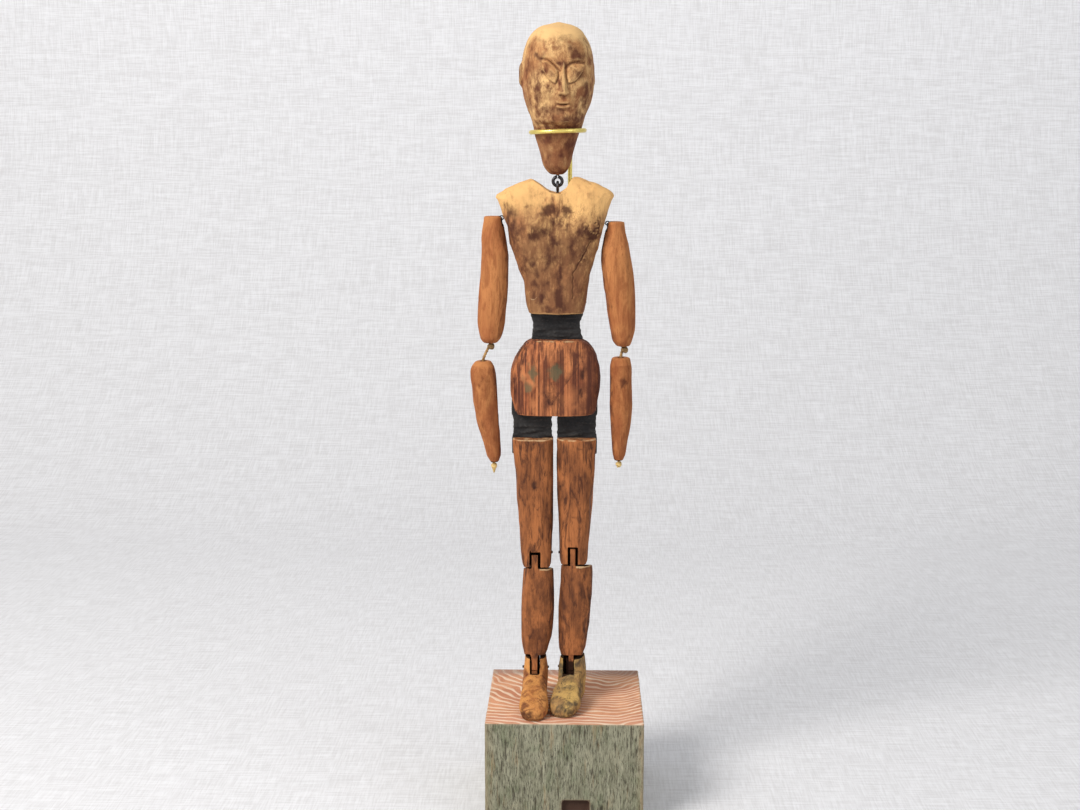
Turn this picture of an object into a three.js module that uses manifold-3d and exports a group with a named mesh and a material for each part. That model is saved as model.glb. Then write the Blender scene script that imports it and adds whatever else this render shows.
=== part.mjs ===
// Jointed wooden doll hung by the neck on a rod and block stand.
// Millimetres, +Z up, doll facing -Y, origin at the middle of the block's underside.
// "Right" and "left" are the doll's own: its right side is at -X.
import * as THREE from 'three';
import { mergeVertices } from 'three/addons/utils/BufferGeometryUtils.js';
import Module from 'manifold-3d';

const wasm = await Module();
wasm.setup();

// Stand
const blockSide = 89;
const blockHeight = 60;
const blockBevel = 0.8;
const rodDiameter = 2.4;
const rodSeatDepth = 30;
const ringWire = 2.4;
const ringBore = 26.8;
const rodSide = 6.7;
const dollFromBlockX = -5.6;
const dollFromBlockY = -4.5;

// Heights of the hanging chain, from the soles up
const soleGap = 0.4;
const ankleHeight = 18.6;
const shinReach = 68.5;
const thighReach = 67;
const hipGap = 13.8;
const pelvisHeight = 41.9;
const waistGap = 14.5;
const torsoHeight = 74.8;
const necklineDrop = 8.3;
const headHeight = 81.2;
const ringAboveNeckEnd = 23.3;

// Places across
const neckX = 0.8;
const headTurn = 9;

// Widths and depths of the carved pieces
const headWidth = 40;
const headDepth = 40;
const torsoWidth = 62;
const torsoDepth = 25;
const pelvisWidth = 50;
const pelvisDepth = 25;
const thighDepth = 20.4;
const shinDepth = 20.2;
const ankleColumnDepth = 16.4;
const ankleColumnBase = 6;
const columnDrawIn = 0.9;
const instepReach = 3;
const heelBack = 10.4;
const shoeHeight = 17;
const toeHeight = 8.6;

// Fits
const fit = 0.3;
const holeFit = 0.12;
const wornFit = 0.35;
const kerfFit = 0.25;

// Screw eyes
const neckEye = { ring: 2.45, wire: 1.8, shank: 11 };
const torsoEye = { ring: 2.2, wire: 1.6, shank: 12 };
const armEye = { ring: 1.25, wire: 0.9, shank: 9 };

// Leather straps in saw kerfs
const strapThickness = 2.6;
const strapHold = 9.5;
const waistStrapWidth = 28.2;
const hipStrapWidth = 20.2;

// Twine
const twineDiameter = 1.7;
const twineBore = 2.6;
const knotDiameter = 4.2;
const wristKnotDiameter = 3.6;
const twineHoleDepth = 6;

// Knee and ankle joints
const kneePinDiameter = 1.7;
const anklePinDiameter = 1.6;
const pinStandsOut = 0.9;
const kneeShoulderDrop = 7.6;
const kneeGap = 0.8;
const kneeTongueRound = 9.5;
const kneeRoundGap = 0.7;
const kneeBevel = 18;
const kneeBevelFrom = -6;
const ankleShoulderRise = 8.5;
const ankleGap = 0.8;
const ankleTongueRound = 7.9;
const ankleRoundGap = 0.6;
const ankleBevel = 12;
const ankleBevelFrom = -3;
const tongueFlat = 0.2;
const tongueRoot = 6;

// A carved piece's outline runs from its bottom (0) to its top (1):
// [share of height, low x, high x], with x in shares of its width. Its profile is
// [share of height, front y, back y], in shares of its depth.
const head = {
  outline: [
    [0, -0.13, 0.11], [0.06, -0.195, 0.17], [0.15, -0.24, 0.215], [0.27, -0.318, 0.285],
    [0.31, -0.328, 0.325], [0.38, -0.378, 0.36], [0.48, -0.45, 0.45], [0.6, -0.487, 0.493],
    [0.69, -0.49, 0.495], [0.78, -0.48, 0.483], [0.87, -0.43, 0.43], [0.94, -0.355, 0.365],
    [0.98, -0.235, 0.25], [1, -0.07, 0.085],
  ],
  profile: [
    [0, -0.11, 0.11], [0.06, -0.173, 0.173], [0.15, -0.215, 0.217], [0.27, -0.305, 0.29],
    [0.325, -0.323, 0.315], [0.355, -0.415, 0.34], [0.48, -0.465, 0.41], [0.6, -0.49, 0.475],
    [0.74, -0.485, 0.515], [0.86, -0.425, 0.475], [0.95, -0.29, 0.345], [1, -0.06, 0.12],
  ],
  edges: [2.5, 2],
};
const torso = {
  outline: [
    [0, -0.223, 0.242], [0.07, -0.253, 0.268], [0.15, -0.273, 0.274], [0.25, -0.29, 0.294],
    [0.36, -0.347, 0.335], [0.5, -0.407, 0.387], [0.6, -0.434, 0.414], [0.72, -0.465, 0.443],
    [0.83, -0.5, 0.479], [0.865, -0.513, 0.495], [0.9, -0.465, 0.469], [0.95, -0.342, 0.368],
    [1, -0.216, 0.229],
  ],
  profile: [
    [0, -0.384, 0.384], [0.2, -0.424, 0.416], [0.45, -0.504, 0.464], [0.62, -0.528, 0.48],
    [0.8, -0.456, 0.44], [0.88, -0.392, 0.392], [1, -0.304, 0.304],
  ],
  edges: [1, 2.5],
  // The V cut: [x in shares of the torso's width, height in shares of the neckline's drop]
  neckline: [
    [-0.306, 1.24], [-0.22, 0.85], [-0.147, 0.48], [-0.1, 0.2], [-0.06, 0.06], [-0.025, 0], [0.018, 0],
    [0.045, 0.13], [0.078, 0.325], [0.096, 0.55], [0.113, 0.76], [0.128, 0.9], [0.18, 1.24],
  ],
};
const pelvis = {
  outline: [
    [0, -0.472, 0.452], [0.17, -0.494, 0.466], [0.35, -0.504, 0.492], [0.6, -0.498, 0.494],
    [0.75, -0.458, 0.464], [0.86, -0.412, 0.424], [0.95, -0.352, 0.364], [1, -0.308, 0.316],
  ],
  profile: [[0, -0.48, 0.48], [0.4, -0.504, 0.504], [0.8, -0.472, 0.472], [1, -0.416, 0.416]],
  edges: [1.2, 2],
};
const thighProfile = [[0, -0.48, 0.48], [0.5, -0.5, 0.5], [1, -0.49, 0.49]];
const shinProfile = [[0, -0.396, 0.396], [0.3, -0.446, 0.465], [0.7, -0.485, 0.515], [1, -0.485, 0.485]];

// A shoe's outline runs from heel to toe.
const shoeOutline = [
  [0, -0.31, 0.31], [0.2, -0.425, 0.425], [0.45, -0.43, 0.43], [0.75, -0.5, 0.5], [0.92, -0.41, 0.41],
  [1, -0.25, 0.25],
];

// Each side. An arm's outline is [share, low x, high x, half depth] in shares of its width, with
// x from the shoulder eye. A leg's x is from the middle of its hip strap, and a foot's column
// from the foot's middle.
const sides = {
  right: {
    outward: -1,
    shoulder: { drop: 23.3, standsOut: 1.7, armRise: 2 },
    upperArm: {
      height: 70.3,
      width: 15,
      outline: [
        [0, -0.707, -0.177, 0.293], [0.04, -0.8, -0.06, 0.413], [0.12, -0.887, 0.07, 0.467],
        [0.25, -0.893, 0.147, 0.5], [0.45, -0.827, 0.215, 0.507], [0.62, -0.76, 0.24, 0.5],
        [0.74, -0.727, 0.247, 0.487], [0.86, -0.733, 0.12, 0.427], [1, -0.64, 0.04, 0.333],
      ],
    },
    elbowGap: 10.1,
    forearm: {
      height: 57.8,
      width: 13.7,
      outline: [
        [0, -0.54, -0.175, 0.19], [0.07, -0.65, -0.092, 0.285], [0.22, -0.81, -0.109, 0.365],
        [0.38, -1.022, -0.135, 0.438], [0.55, -1.168, -0.164, 0.482], [0.72, -1.263, -0.223, 0.504],
        [0.86, -1.314, -0.274, 0.504], [0.94, -1.255, -0.347, 0.438], [1, -1.109, -0.457, 0.336],
      ],
    },
    hipX: -13.1,
    thigh: {
      width: 22,
      outline: [
        [0, -0.205, 0.465], [0.06, -0.227, 0.475], [0.17, -0.277, 0.502], [0.35, -0.332, 0.525],
        [0.6, -0.4, 0.53], [0.8, -0.45, 0.53], [1, -0.5, 0.53],
      ],
    },
    knee: { x: 1.6, tongue: 5.5, play: 0.3 },
    shin: {
      width: 17.7,
      outline: [
        [0, -0.26, 0.424], [0.1, -0.311, 0.52], [0.23, -0.35, 0.571], [0.4, -0.356, 0.633],
        [0.6, -0.345, 0.655], [0.8, -0.311, 0.633], [0.93, -0.282, 0.627], [1, -0.254, 0.605],
      ],
    },
    ankle: { x: 1.4, tongue: 4.7, play: 0.3 },
    foot: { x: 1.3, toe: 37.5, turn: 0, width: 16.2, low: -6.4, high: 7.3 },
  },
  left: {
    outward: 1,
    shoulder: { drop: 26.3, standsOut: 1.9, armRise: 2.1 },
    upperArm: {
      height: 69.2,
      width: 16.4,
      outline: [
        [0, 0.329, 0.78, 0.268], [0.05, 0.207, 0.878, 0.378], [0.12, 0.146, 0.939, 0.427],
        [0.24, 0.055, 0.963, 0.463], [0.4, -0.055, 0.945, 0.488], [0.58, -0.146, 0.878, 0.5],
        [0.72, -0.201, 0.78, 0.488], [0.86, -0.134, 0.665, 0.402], [1, -0.037, 0.555, 0.299],
      ],
    },
    elbowGap: 6.1,
    forearm: {
      height: 58.8,
      width: 12.2,
      outline: [
        [0, 0.393, 0.803, 0.213], [0.07, 0.328, 0.91, 0.311], [0.2, 0.279, 1, 0.393],
        [0.35, 0.23, 1.115, 0.459], [0.55, 0.18, 1.189, 0.5], [0.75, 0.172, 1.148, 0.492],
        [0.9, 0.164, 1.139, 0.492], [1, 0.246, 1.066, 0.418],
      ],
    },
    hipX: 11.7,
    thigh: {
      width: 22,
      outline: [
        [0, -0.405, 0.25], [0.06, -0.414, 0.264], [0.17, -0.423, 0.286], [0.35, -0.445, 0.336],
        [0.6, -0.486, 0.418], [0.8, -0.5, 0.455], [1, -0.5, 0.5],
      ],
    },
    knee: { x: -1.9, tongue: 4.8, play: 0.3 },
    shin: {
      width: 17.4,
      outline: [
        [0, -0.506, 0.195], [0.1, -0.546, 0.259], [0.23, -0.552, 0.31], [0.4, -0.563, 0.391],
        [0.6, -0.557, 0.437], [0.8, -0.494, 0.471], [0.93, -0.494, 0.46], [1, -0.46, 0.431],
      ],
    },
    ankle: { x: -2.6, tongue: 3.1, play: 1.6 },
    foot: { x: -2.3, toe: 32.5, turn: 11, width: 15.8, low: -7.1, high: 6.9 },
  },
};

// Levels worked out from the heights
const anklePinZ = soleGap + ankleHeight;
const kneePinZ = anklePinZ + shinReach;
const thighTopZ = kneePinZ + thighReach;
const pelvisBottomZ = thighTopZ + hipGap;
const pelvisTopZ = pelvisBottomZ + pelvisHeight;
const torsoBottomZ = pelvisTopZ + waistGap;
const torsoTopZ = torsoBottomZ + torsoHeight;
const necklineZ = torsoTopZ - necklineDrop;
const torsoEyeZ = necklineZ + fit + torsoEye.wire / 2 + torsoEye.ring;
// The torso eye's upper wire lies in the neck eye's hole, just over its lower wire.
const neckEyeZ = torsoEyeZ + torsoEye.ring + neckEye.ring - (neckEye.wire + torsoEye.wire) / 2 - fit;
const neckEndZ = neckEyeZ + neckEye.ring + neckEye.wire / 2 + fit;
const ringZ = neckEndZ + ringAboveNeckEnd;
const ringRadius = (ringBore + ringWire) / 2;

// Surface finish by material
const finish = {
  paleWood: { color: 0xc98f52, roughness: 0.62, metalness: 0 },
  tanWood: { color: 0xb9743d, roughness: 0.6, metalness: 0 },
  redWood: { color: 0xa3592d, roughness: 0.58, metalness: 0 },
  oliveWood: { color: 0xb08a4a, roughness: 0.66, metalness: 0 },
  weatheredWood: { color: 0x8b8168, roughness: 0.85, metalness: 0 },
  leather: { color: 0x1d1a1c, roughness: 0.55, metalness: 0 },
  twine: { color: 0xbb9160, roughness: 0.9, metalness: 0 },
  steel: { color: 0x2b2a2e, roughness: 0.4, metalness: 0.9 },
  brass: { color: 0xc8a14f, roughness: 0.32, metalness: 0.95 },
};
const materials = Object.fromEntries(
  Object.entries(finish).map(([name, values]) => [name, new THREE.MeshStandardMaterial({ ...values, name })]),
);

// A closed geometry as a solid that can be cut and joined
function solidOf(geometry) {
  const bare = geometry.clone();
  bare.deleteAttribute('normal');
  bare.deleteAttribute('uv');
  const merged = mergeVertices(bare, 1e-4);
  const corners = merged.index.array;
  const kept = [];
  for (let i = 0; i < corners.length; i += 3) {
    const [a, b, c] = [corners[i], corners[i + 1], corners[i + 2]];
    if (a !== b && b !== c && c !== a) kept.push(a, b, c);
  }
  return new wasm.Manifold(
    new wasm.Mesh({ numProp: 3, vertProperties: merged.attributes.position.array, triVerts: new Uint32Array(kept) }),
  );
}

function geometryOf(solid) {
  const mesh = solid.getMesh();
  const geometry = new THREE.BufferGeometry();
  geometry.setAttribute('position', new THREE.BufferAttribute(mesh.vertProperties, 3));
  geometry.setIndex(new THREE.BufferAttribute(mesh.triVerts, 1));
  geometry.computeVertexNormals();
  return geometry;
}

const cut = (geometry, ...tools) =>
  geometryOf(tools.reduce((solid, tool) => solid.subtract(solidOf(tool)), solidOf(geometry)));
const join = (...geometries) =>
  geometryOf(geometries.slice(1).reduce((solid, next) => solid.add(solidOf(next)), solidOf(geometries[0])));

// A smooth function through [share, ...values] points
function through(points) {
  const size = points[0].length - 1;
  const curve = new THREE.CubicInterpolant(
    points.map((point) => point[0]),
    points.flatMap((point) => point.slice(1)),
    size,
    new Float64Array(size),
  );
  return (share) => Array.from(curve.evaluate(share));
}

// An outline or profile in millimetres
const sized = (rows, size) => rows.map(([share, low, high]) => [share, low * size, high * size]);

// A closed skin over rings of equally many points, each ring seen anticlockwise from the last ring's end
function loft(rings) {
  const count = rings[0].length;
  const positions = rings.flat(2);
  const index = [];
  for (let level = 0; level + 1 < rings.length; level++) {
    for (let i = 0; i < count; i++) {
      const [a, b] = [level * count + i, level * count + ((i + 1) % count)];
      index.push(a, b, b + count, a, b + count, a + count);
    }
  }
  for (const [ring, start] of [[rings[0], 0], [rings.at(-1), (rings.length - 1) * count]]) {
    const middle = positions.length / 3;
    positions.push(...[0, 1, 2].map((axis) => ring.reduce((sum, point) => sum + point[axis], 0) / count));
    for (let i = 0; i < count; i++) {
      const next = (i + 1) % count;
      index.push(middle, start + (start ? i : next), start + (start ? next : i));
    }
  }
  const geometry = new THREE.BufferGeometry();
  geometry.setAttribute('position', new THREE.Float32BufferAttribute(positions, 3));
  geometry.setIndex(index);
  return geometry;
}

// How far a rounded edge of this radius draws the outline in, at a distance from the piece's end
function edgeInset(distance, radius) {
  const left = Math.max(radius - distance, 0);
  return radius - Math.sqrt(radius * radius - left * left);
}

// A whittled piece along Z: smooth outline and depth, rounded sections, eased ends
function carve({ bottom, height, outline, depth, power = 2, ease = [1, 1], steps = 12, sides: count = 20 }) {
  const width = through(outline);
  const thickness = through(depth);
  const levels = [];
  for (const share of [0, 0.15, 0.5]) levels.push(share * ease[0]);
  for (let i = 0; i <= steps; i++) levels.push(ease[0] + ((height - ease[0] - ease[1]) * i) / steps);
  for (const share of [0.5, 0.15, 0]) levels.push(height - share * ease[1]);
  const bulge = (value) => Math.sign(value) * Math.abs(value) ** (2 / power);
  const rings = levels.map((level) => {
    const [low, high] = width(level / height);
    const [front, back] = thickness(level / height);
    const inset = edgeInset(level, ease[0]) + edgeInset(height - level, ease[1]);
    return Array.from({ length: count }, (_, i) => {
      const angle = (2 * Math.PI * (i + 0.5)) / count;
      return [
        (low + high) / 2 + ((high - low) / 2 - inset) * bulge(Math.cos(angle)),
        (front + back) / 2 + ((back - front) / 2 - inset) * bulge(Math.sin(angle)),
        bottom + level,
      ];
    });
  });
  return loft(rings);
}

// A box between two opposite corners
function boxBetween([x0, y0, z0], [x1, y1, z1]) {
  return new THREE.BoxGeometry(x1 - x0, y1 - y0, z1 - z0).translate((x0 + x1) / 2, (y0 + y1) / 2, (z0 + z1) / 2);
}

// A round bar along X, centred on a point
function barAlongX(radius, length, [x, y, z], count = 24) {
  return new THREE.CylinderGeometry(radius, radius, length, count).rotateZ(Math.PI / 2).translate(x, y, z);
}

// A round bar standing on a point
function barAlongZ(radius, length, [x, y, z], count = 16) {
  return new THREE.CylinderGeometry(radius, radius, length, count)
    .rotateX(Math.PI / 2)
    .translate(x, y, z + length / 2);
}

// A plate with an outline in the YZ plane, across a span of x
function plateAcrossX(outline, [x0, x1]) {
  const shape = new THREE.Shape(outline.map(([y, z]) => new THREE.Vector2(y, z)));
  return new THREE.ExtrudeGeometry(shape, { depth: x1 - x0, bevelEnabled: false })
    .rotateX(Math.PI / 2)
    .rotateZ(Math.PI / 2)
    .translate(x0, 0, 0);
}

// A ring in the XZ plane round the origin with a pointed shank down -Z
function screwEye({ ring, wire, shank }) {
  const radius = wire / 2;
  const tip = Math.min(shank, 3 * radius);
  const profile = [
    [0, -ring - shank], [radius, -ring - shank + tip], [radius, -ring], [0, -ring],
  ].map(([x, y]) => new THREE.Vector2(x, y));
  const shaft = new THREE.LatheGeometry(profile, 8).rotateX(Math.PI / 2);
  return join(new THREE.TorusGeometry(ring, radius, 8, 16).rotateX(Math.PI / 2), shaft);
}

// The hole that a screw eye's shank stands in, from where the ring ends
function eyeHole({ ring, wire, shank }) {
  return barAlongZ(wire / 2 + holeFit, shank + fit, [0, 0, -ring - shank - fit], 8);
}

const model = new THREE.Group();
const doll = new THREE.Group();
doll.position.set(dollFromBlockX, dollFromBlockY, blockHeight);
model.add(doll);

function add(parent, name, geometry, material) {
  const mesh = new THREE.Mesh(geometry, materials[material]);
  mesh.name = name;
  parent.add(mesh);
}

// Stand: block, rod and the ring round the neck
const rodBack = Math.sqrt((ringRadius + (ringWire + rodDiameter) / 2 + fit) ** 2 - rodSide ** 2);
const rodPlace = [neckX + rodSide, rodBack];
const half = blockSide / 2 - blockBevel;
const blockSection = new THREE.Shape([[-half, -half], [half, -half], [half, half], [-half, half]].map(
  ([x, y]) => new THREE.Vector2(x, y),
));
const block = new THREE.ExtrudeGeometry(blockSection, {
  depth: blockHeight - 2 * blockBevel, bevelThickness: blockBevel, bevelSize: blockBevel, bevelSegments: 2,
}).translate(0, 0, blockBevel);
const rodSeat = [dollFromBlockX + rodPlace[0], dollFromBlockY + rodPlace[1], blockHeight - rodSeatDepth];
const rodHole = barAlongZ(rodDiameter / 2 + holeFit, rodSeatDepth + 1, rodSeat);
add(model, 'stand_block', cut(block, rodHole), 'weatheredWood');
const rodBottom = fit - rodSeatDepth;
const rod = barAlongZ(rodDiameter / 2, ringZ + ringWire / 2 - rodBottom, [...rodPlace, rodBottom]);
add(doll, 'stand_rod', rod, 'brass');
add(doll, 'neck_ring', new THREE.TorusGeometry(ringRadius, ringWire / 2, 8, 40).translate(neckX, 0, ringZ), 'brass');

// Head, turned a little to its left, with its screw eye
const headBlank = carve({
  bottom: neckEndZ, height: headHeight,
  outline: sized(head.outline, headWidth), depth: sized(head.profile, headDepth),
  power: 2.15, ease: head.edges, steps: 20, sides: 28,
}).rotateZ(THREE.MathUtils.degToRad(headTurn)).translate(neckX, 0, 0);
const neckEyeHole = eyeHole(neckEye).rotateX(Math.PI).translate(neckX, 0, neckEyeZ);
add(doll, 'head', cut(headBlank, neckEyeHole), 'tanWood');
add(doll, 'neck_screw_eye', screwEye(neckEye).rotateX(Math.PI).translate(neckX, 0, neckEyeZ), 'steel');

// Torso with its V neckline, strap kerf and three eyes
const kerfHalf = strapThickness / 2 + kerfFit;
const kerfDepth = strapHold + fit;
function kerf(lowZ, highZ) {
  return boxBetween([-blockSide, -kerfHalf, lowZ], [blockSide, kerfHalf, highZ]);
}
function neckline() {
  const shape = new THREE.Shape(torso.neckline.map(
    ([x, z]) => new THREE.Vector2(neckX + x * torsoWidth, necklineZ + z * necklineDrop),
  ));
  return new THREE.ExtrudeGeometry(shape, { depth: 2 * torsoDepth, bevelEnabled: false })
    .rotateX(Math.PI / 2)
    .translate(0, torsoDepth, 0);
}
const torsoOutline = sized(torso.outline, torsoWidth);
const torsoTools = [
  neckline(),
  kerf(torsoBottomZ - 1, torsoBottomZ + kerfDepth),
  eyeHole(torsoEye).translate(neckX, 0, torsoEyeZ),
];
const torsoBlank = carve({
  bottom: torsoBottomZ, height: torsoHeight,
  outline: torsoOutline, depth: sized(torso.profile, torsoDepth),
  power: 2.7, ease: torso.edges, steps: 20, sides: 28,
});
for (const [side, { outward, shoulder }] of Object.entries(sides)) {
  // The arm's eye hangs just outside the torso, and the shoulder eye's lower wire lies in it.
  shoulder.z = torsoTopZ - shoulder.drop;
  const edges = through(torsoOutline)((shoulder.z - torsoBottomZ) / torsoHeight);
  shoulder.x = (outward < 0 ? edges[0] : edges[1]) + outward * shoulder.standsOut;
  const aim = (geometry) => geometry
    .rotateY((outward * Math.PI) / 2)
    .translate(shoulder.x, 0, shoulder.z + armEye.ring + fit / 3);
  torsoTools.push(aim(eyeHole(armEye)));
  torsoTools.push(aim(new THREE.TorusGeometry(armEye.ring, armEye.wire / 2 + fit, 6, 12).rotateX(Math.PI / 2)));
  add(doll, `${side}_shoulder_eye`, aim(screwEye(armEye)), 'steel');
}
add(doll, 'torso', cut(torsoBlank, ...torsoTools), 'paleWood');
add(doll, 'torso_screw_eye', screwEye(torsoEye).rotateZ(Math.PI / 2).translate(neckX, 0, torsoEyeZ), 'steel');

// Waist strap and pelvis
const strap = (width, lowZ, highZ) => boxBetween(
  [-width / 2, -strapThickness / 2, lowZ - strapHold], [width / 2, strapThickness / 2, highZ + strapHold],
);
add(doll, 'waist_strap', strap(waistStrapWidth, pelvisTopZ, torsoBottomZ), 'leather');
const pelvisBlank = carve({
  bottom: pelvisBottomZ, height: pelvisHeight,
  outline: sized(pelvis.outline, pelvisWidth), depth: sized(pelvis.profile, pelvisDepth),
  power: 2.9, ease: pelvis.edges, steps: 10, sides: 24,
});
add(doll, 'pelvis', cut(
  pelvisBlank, kerf(pelvisTopZ - kerfDepth, pelvisTopZ + 1), kerf(pelvisBottomZ - 1, pelvisBottomZ + kerfDepth),
), 'redWood');

// Arms, each in a group about its shoulder eye: a screw eye on top, twine through the forearm
function limb({ height, width, outline }, bottom, ease) {
  return carve({
    bottom, height, outline: sized(outline, width), ease, steps: 8, sides: 16,
    depth: outline.map(([share, , , half]) => [share, -half * width, half * width]),
  });
}
const middle = ({ width, outline }, row) => (width * (outline.at(row)[1] + outline.at(row)[2])) / 2;

function addArm(side, { outward, shoulder, upperArm, elbowGap, forearm }) {
  const arm = new THREE.Group();
  arm.position.set(shoulder.x, 0, shoulder.z);
  doll.add(arm);
  const armTop = shoulder.armRise;
  const armBottom = armTop - upperArm.height;
  const foreTop = armBottom - elbowGap;
  const foreBottom = foreTop - forearm.height;
  const twineTopX = middle(upperArm, 0);
  const twineLowX = middle(forearm, -1);
  const wristX = middle(forearm, 0);

  // A step in the arm's inner top corner leaves room for both eyes.
  const eyeReach = armEye.ring + armEye.wire / 2 + fit;
  const stepSpan = [outward * eyeReach, -outward * blockSide].sort((low, high) => low - high);
  const step = boxBetween([stepSpan[0], -blockSide, -eyeReach], [stepSpan[1], blockSide, armTop + 1]);
  const twineHole = barAlongZ(twineBore / 2, twineHoleDepth + 1, [twineTopX, 0, armBottom - 1], 10);
  add(arm, `${side}_upper_arm`, cut(
    limb(upperArm, armBottom, [1.2, 0.8]), step, twineHole, eyeHole(armEye),
  ), 'tanWood');
  add(arm, `${side}_arm_eye`, screwEye(armEye).rotateZ(Math.PI / 2), 'steel');

  // The twine: knotted under the upper arm, down through the forearm, stopped at the wrist
  const knotZ = armBottom - fit - knotDiameter / 2;
  const wristZ = foreBottom - fit - wristKnotDiameter / 2;
  const across = (share) => THREE.MathUtils.lerp(twineLowX, wristX, share);
  const route = new THREE.CatmullRomCurve3([
    [twineTopX, armBottom + twineHoleDepth - 1], [twineTopX, armBottom], [twineLowX, foreTop],
    [across(0.18), foreTop - 10], [across(0.8), foreBottom + 10], [wristX, wristZ],
  ].map(([x, z]) => new THREE.Vector3(x, 0, z)));
  const alongRoute = (diameter, count) => {
    const section = new THREE.Shape(Array.from({ length: count }, (_, i) => {
      const angle = (2 * Math.PI * i) / count;
      return new THREE.Vector2((diameter / 2) * Math.cos(angle), (diameter / 2) * Math.sin(angle));
    }));
    return new THREE.ExtrudeGeometry(section, { extrudePath: route, steps: 18, bevelEnabled: false });
  };
  const knot = (diameter, x, z) => new THREE.SphereGeometry(diameter / 2, 10, 6)
    .rotateX(Math.PI / 2)
    .translate(x, 0, z);
  const knotX = THREE.MathUtils.lerp(twineTopX, twineLowX, (knotDiameter / 2 + fit) / elbowGap);
  add(arm, `${side}_elbow_twine`, join(
    alongRoute(twineDiameter, 8), knot(knotDiameter, knotX, knotZ), knot(wristKnotDiameter, wristX, wristZ),
  ), 'twine');
  add(arm, `${side}_forearm`, cut(limb(forearm, foreBottom, [1, 1.4]), alongRoute(twineBore, 8)), 'tanWood');
}

// Legs, each in a group under its hip strap: the forked thigh holds the shin's tongue, and the
// foot's slot holds the shin's lower tongue.
const slope = (run, degrees) => run * Math.tan(THREE.MathUtils.degToRad(degrees));
const beyond = 40;
const barSides = 24;

// All that goes from a blank past its shoulder, round a tongue with a round end about the pin.
// Up is the way that the tongue points. The shoulder falls away past bevelFrom, towards side.
function tongueCutter({ x, tongue, shoulderZ, pinZ, round, up, bevel, bevelFrom, side }) {
  const level = (y) => shoulderZ - up * slope(Math.max(side * (y - bevelFrom), 0), bevel);
  const farZ = pinZ + up * beyond;
  const waste = solidOf(plateAcrossX([
    [-beyond, level(-beyond)], [bevelFrom, shoulderZ], [beyond, level(beyond)], [beyond, farZ], [-beyond, farZ],
  ], [-beyond, beyond]));
  const rootZ = pinZ - up * beyond;
  const kept = solidOf(plateAcrossX(
    [[-beyond, rootZ], [beyond, rootZ], [beyond, pinZ], [-beyond, pinZ]], [x - tongue / 2, x + tongue / 2],
  ));
  const rounded = solidOf(barAlongX(round, tongue, [x, 0, pinZ], barSides));
  return geometryOf(waste.subtract(kept).subtract(rounded));
}

const tongueBlank = ({ x, tongue }, round, lowZ, highZ) =>
  boxBetween([x - tongue / 2, tongueFlat - round, lowZ], [x + tongue / 2, round - tongueFlat, highZ]);
const slotSpan = ({ x, tongue, play }) => [x - tongue / 2 - play, x + tongue / 2 + play];

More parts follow.
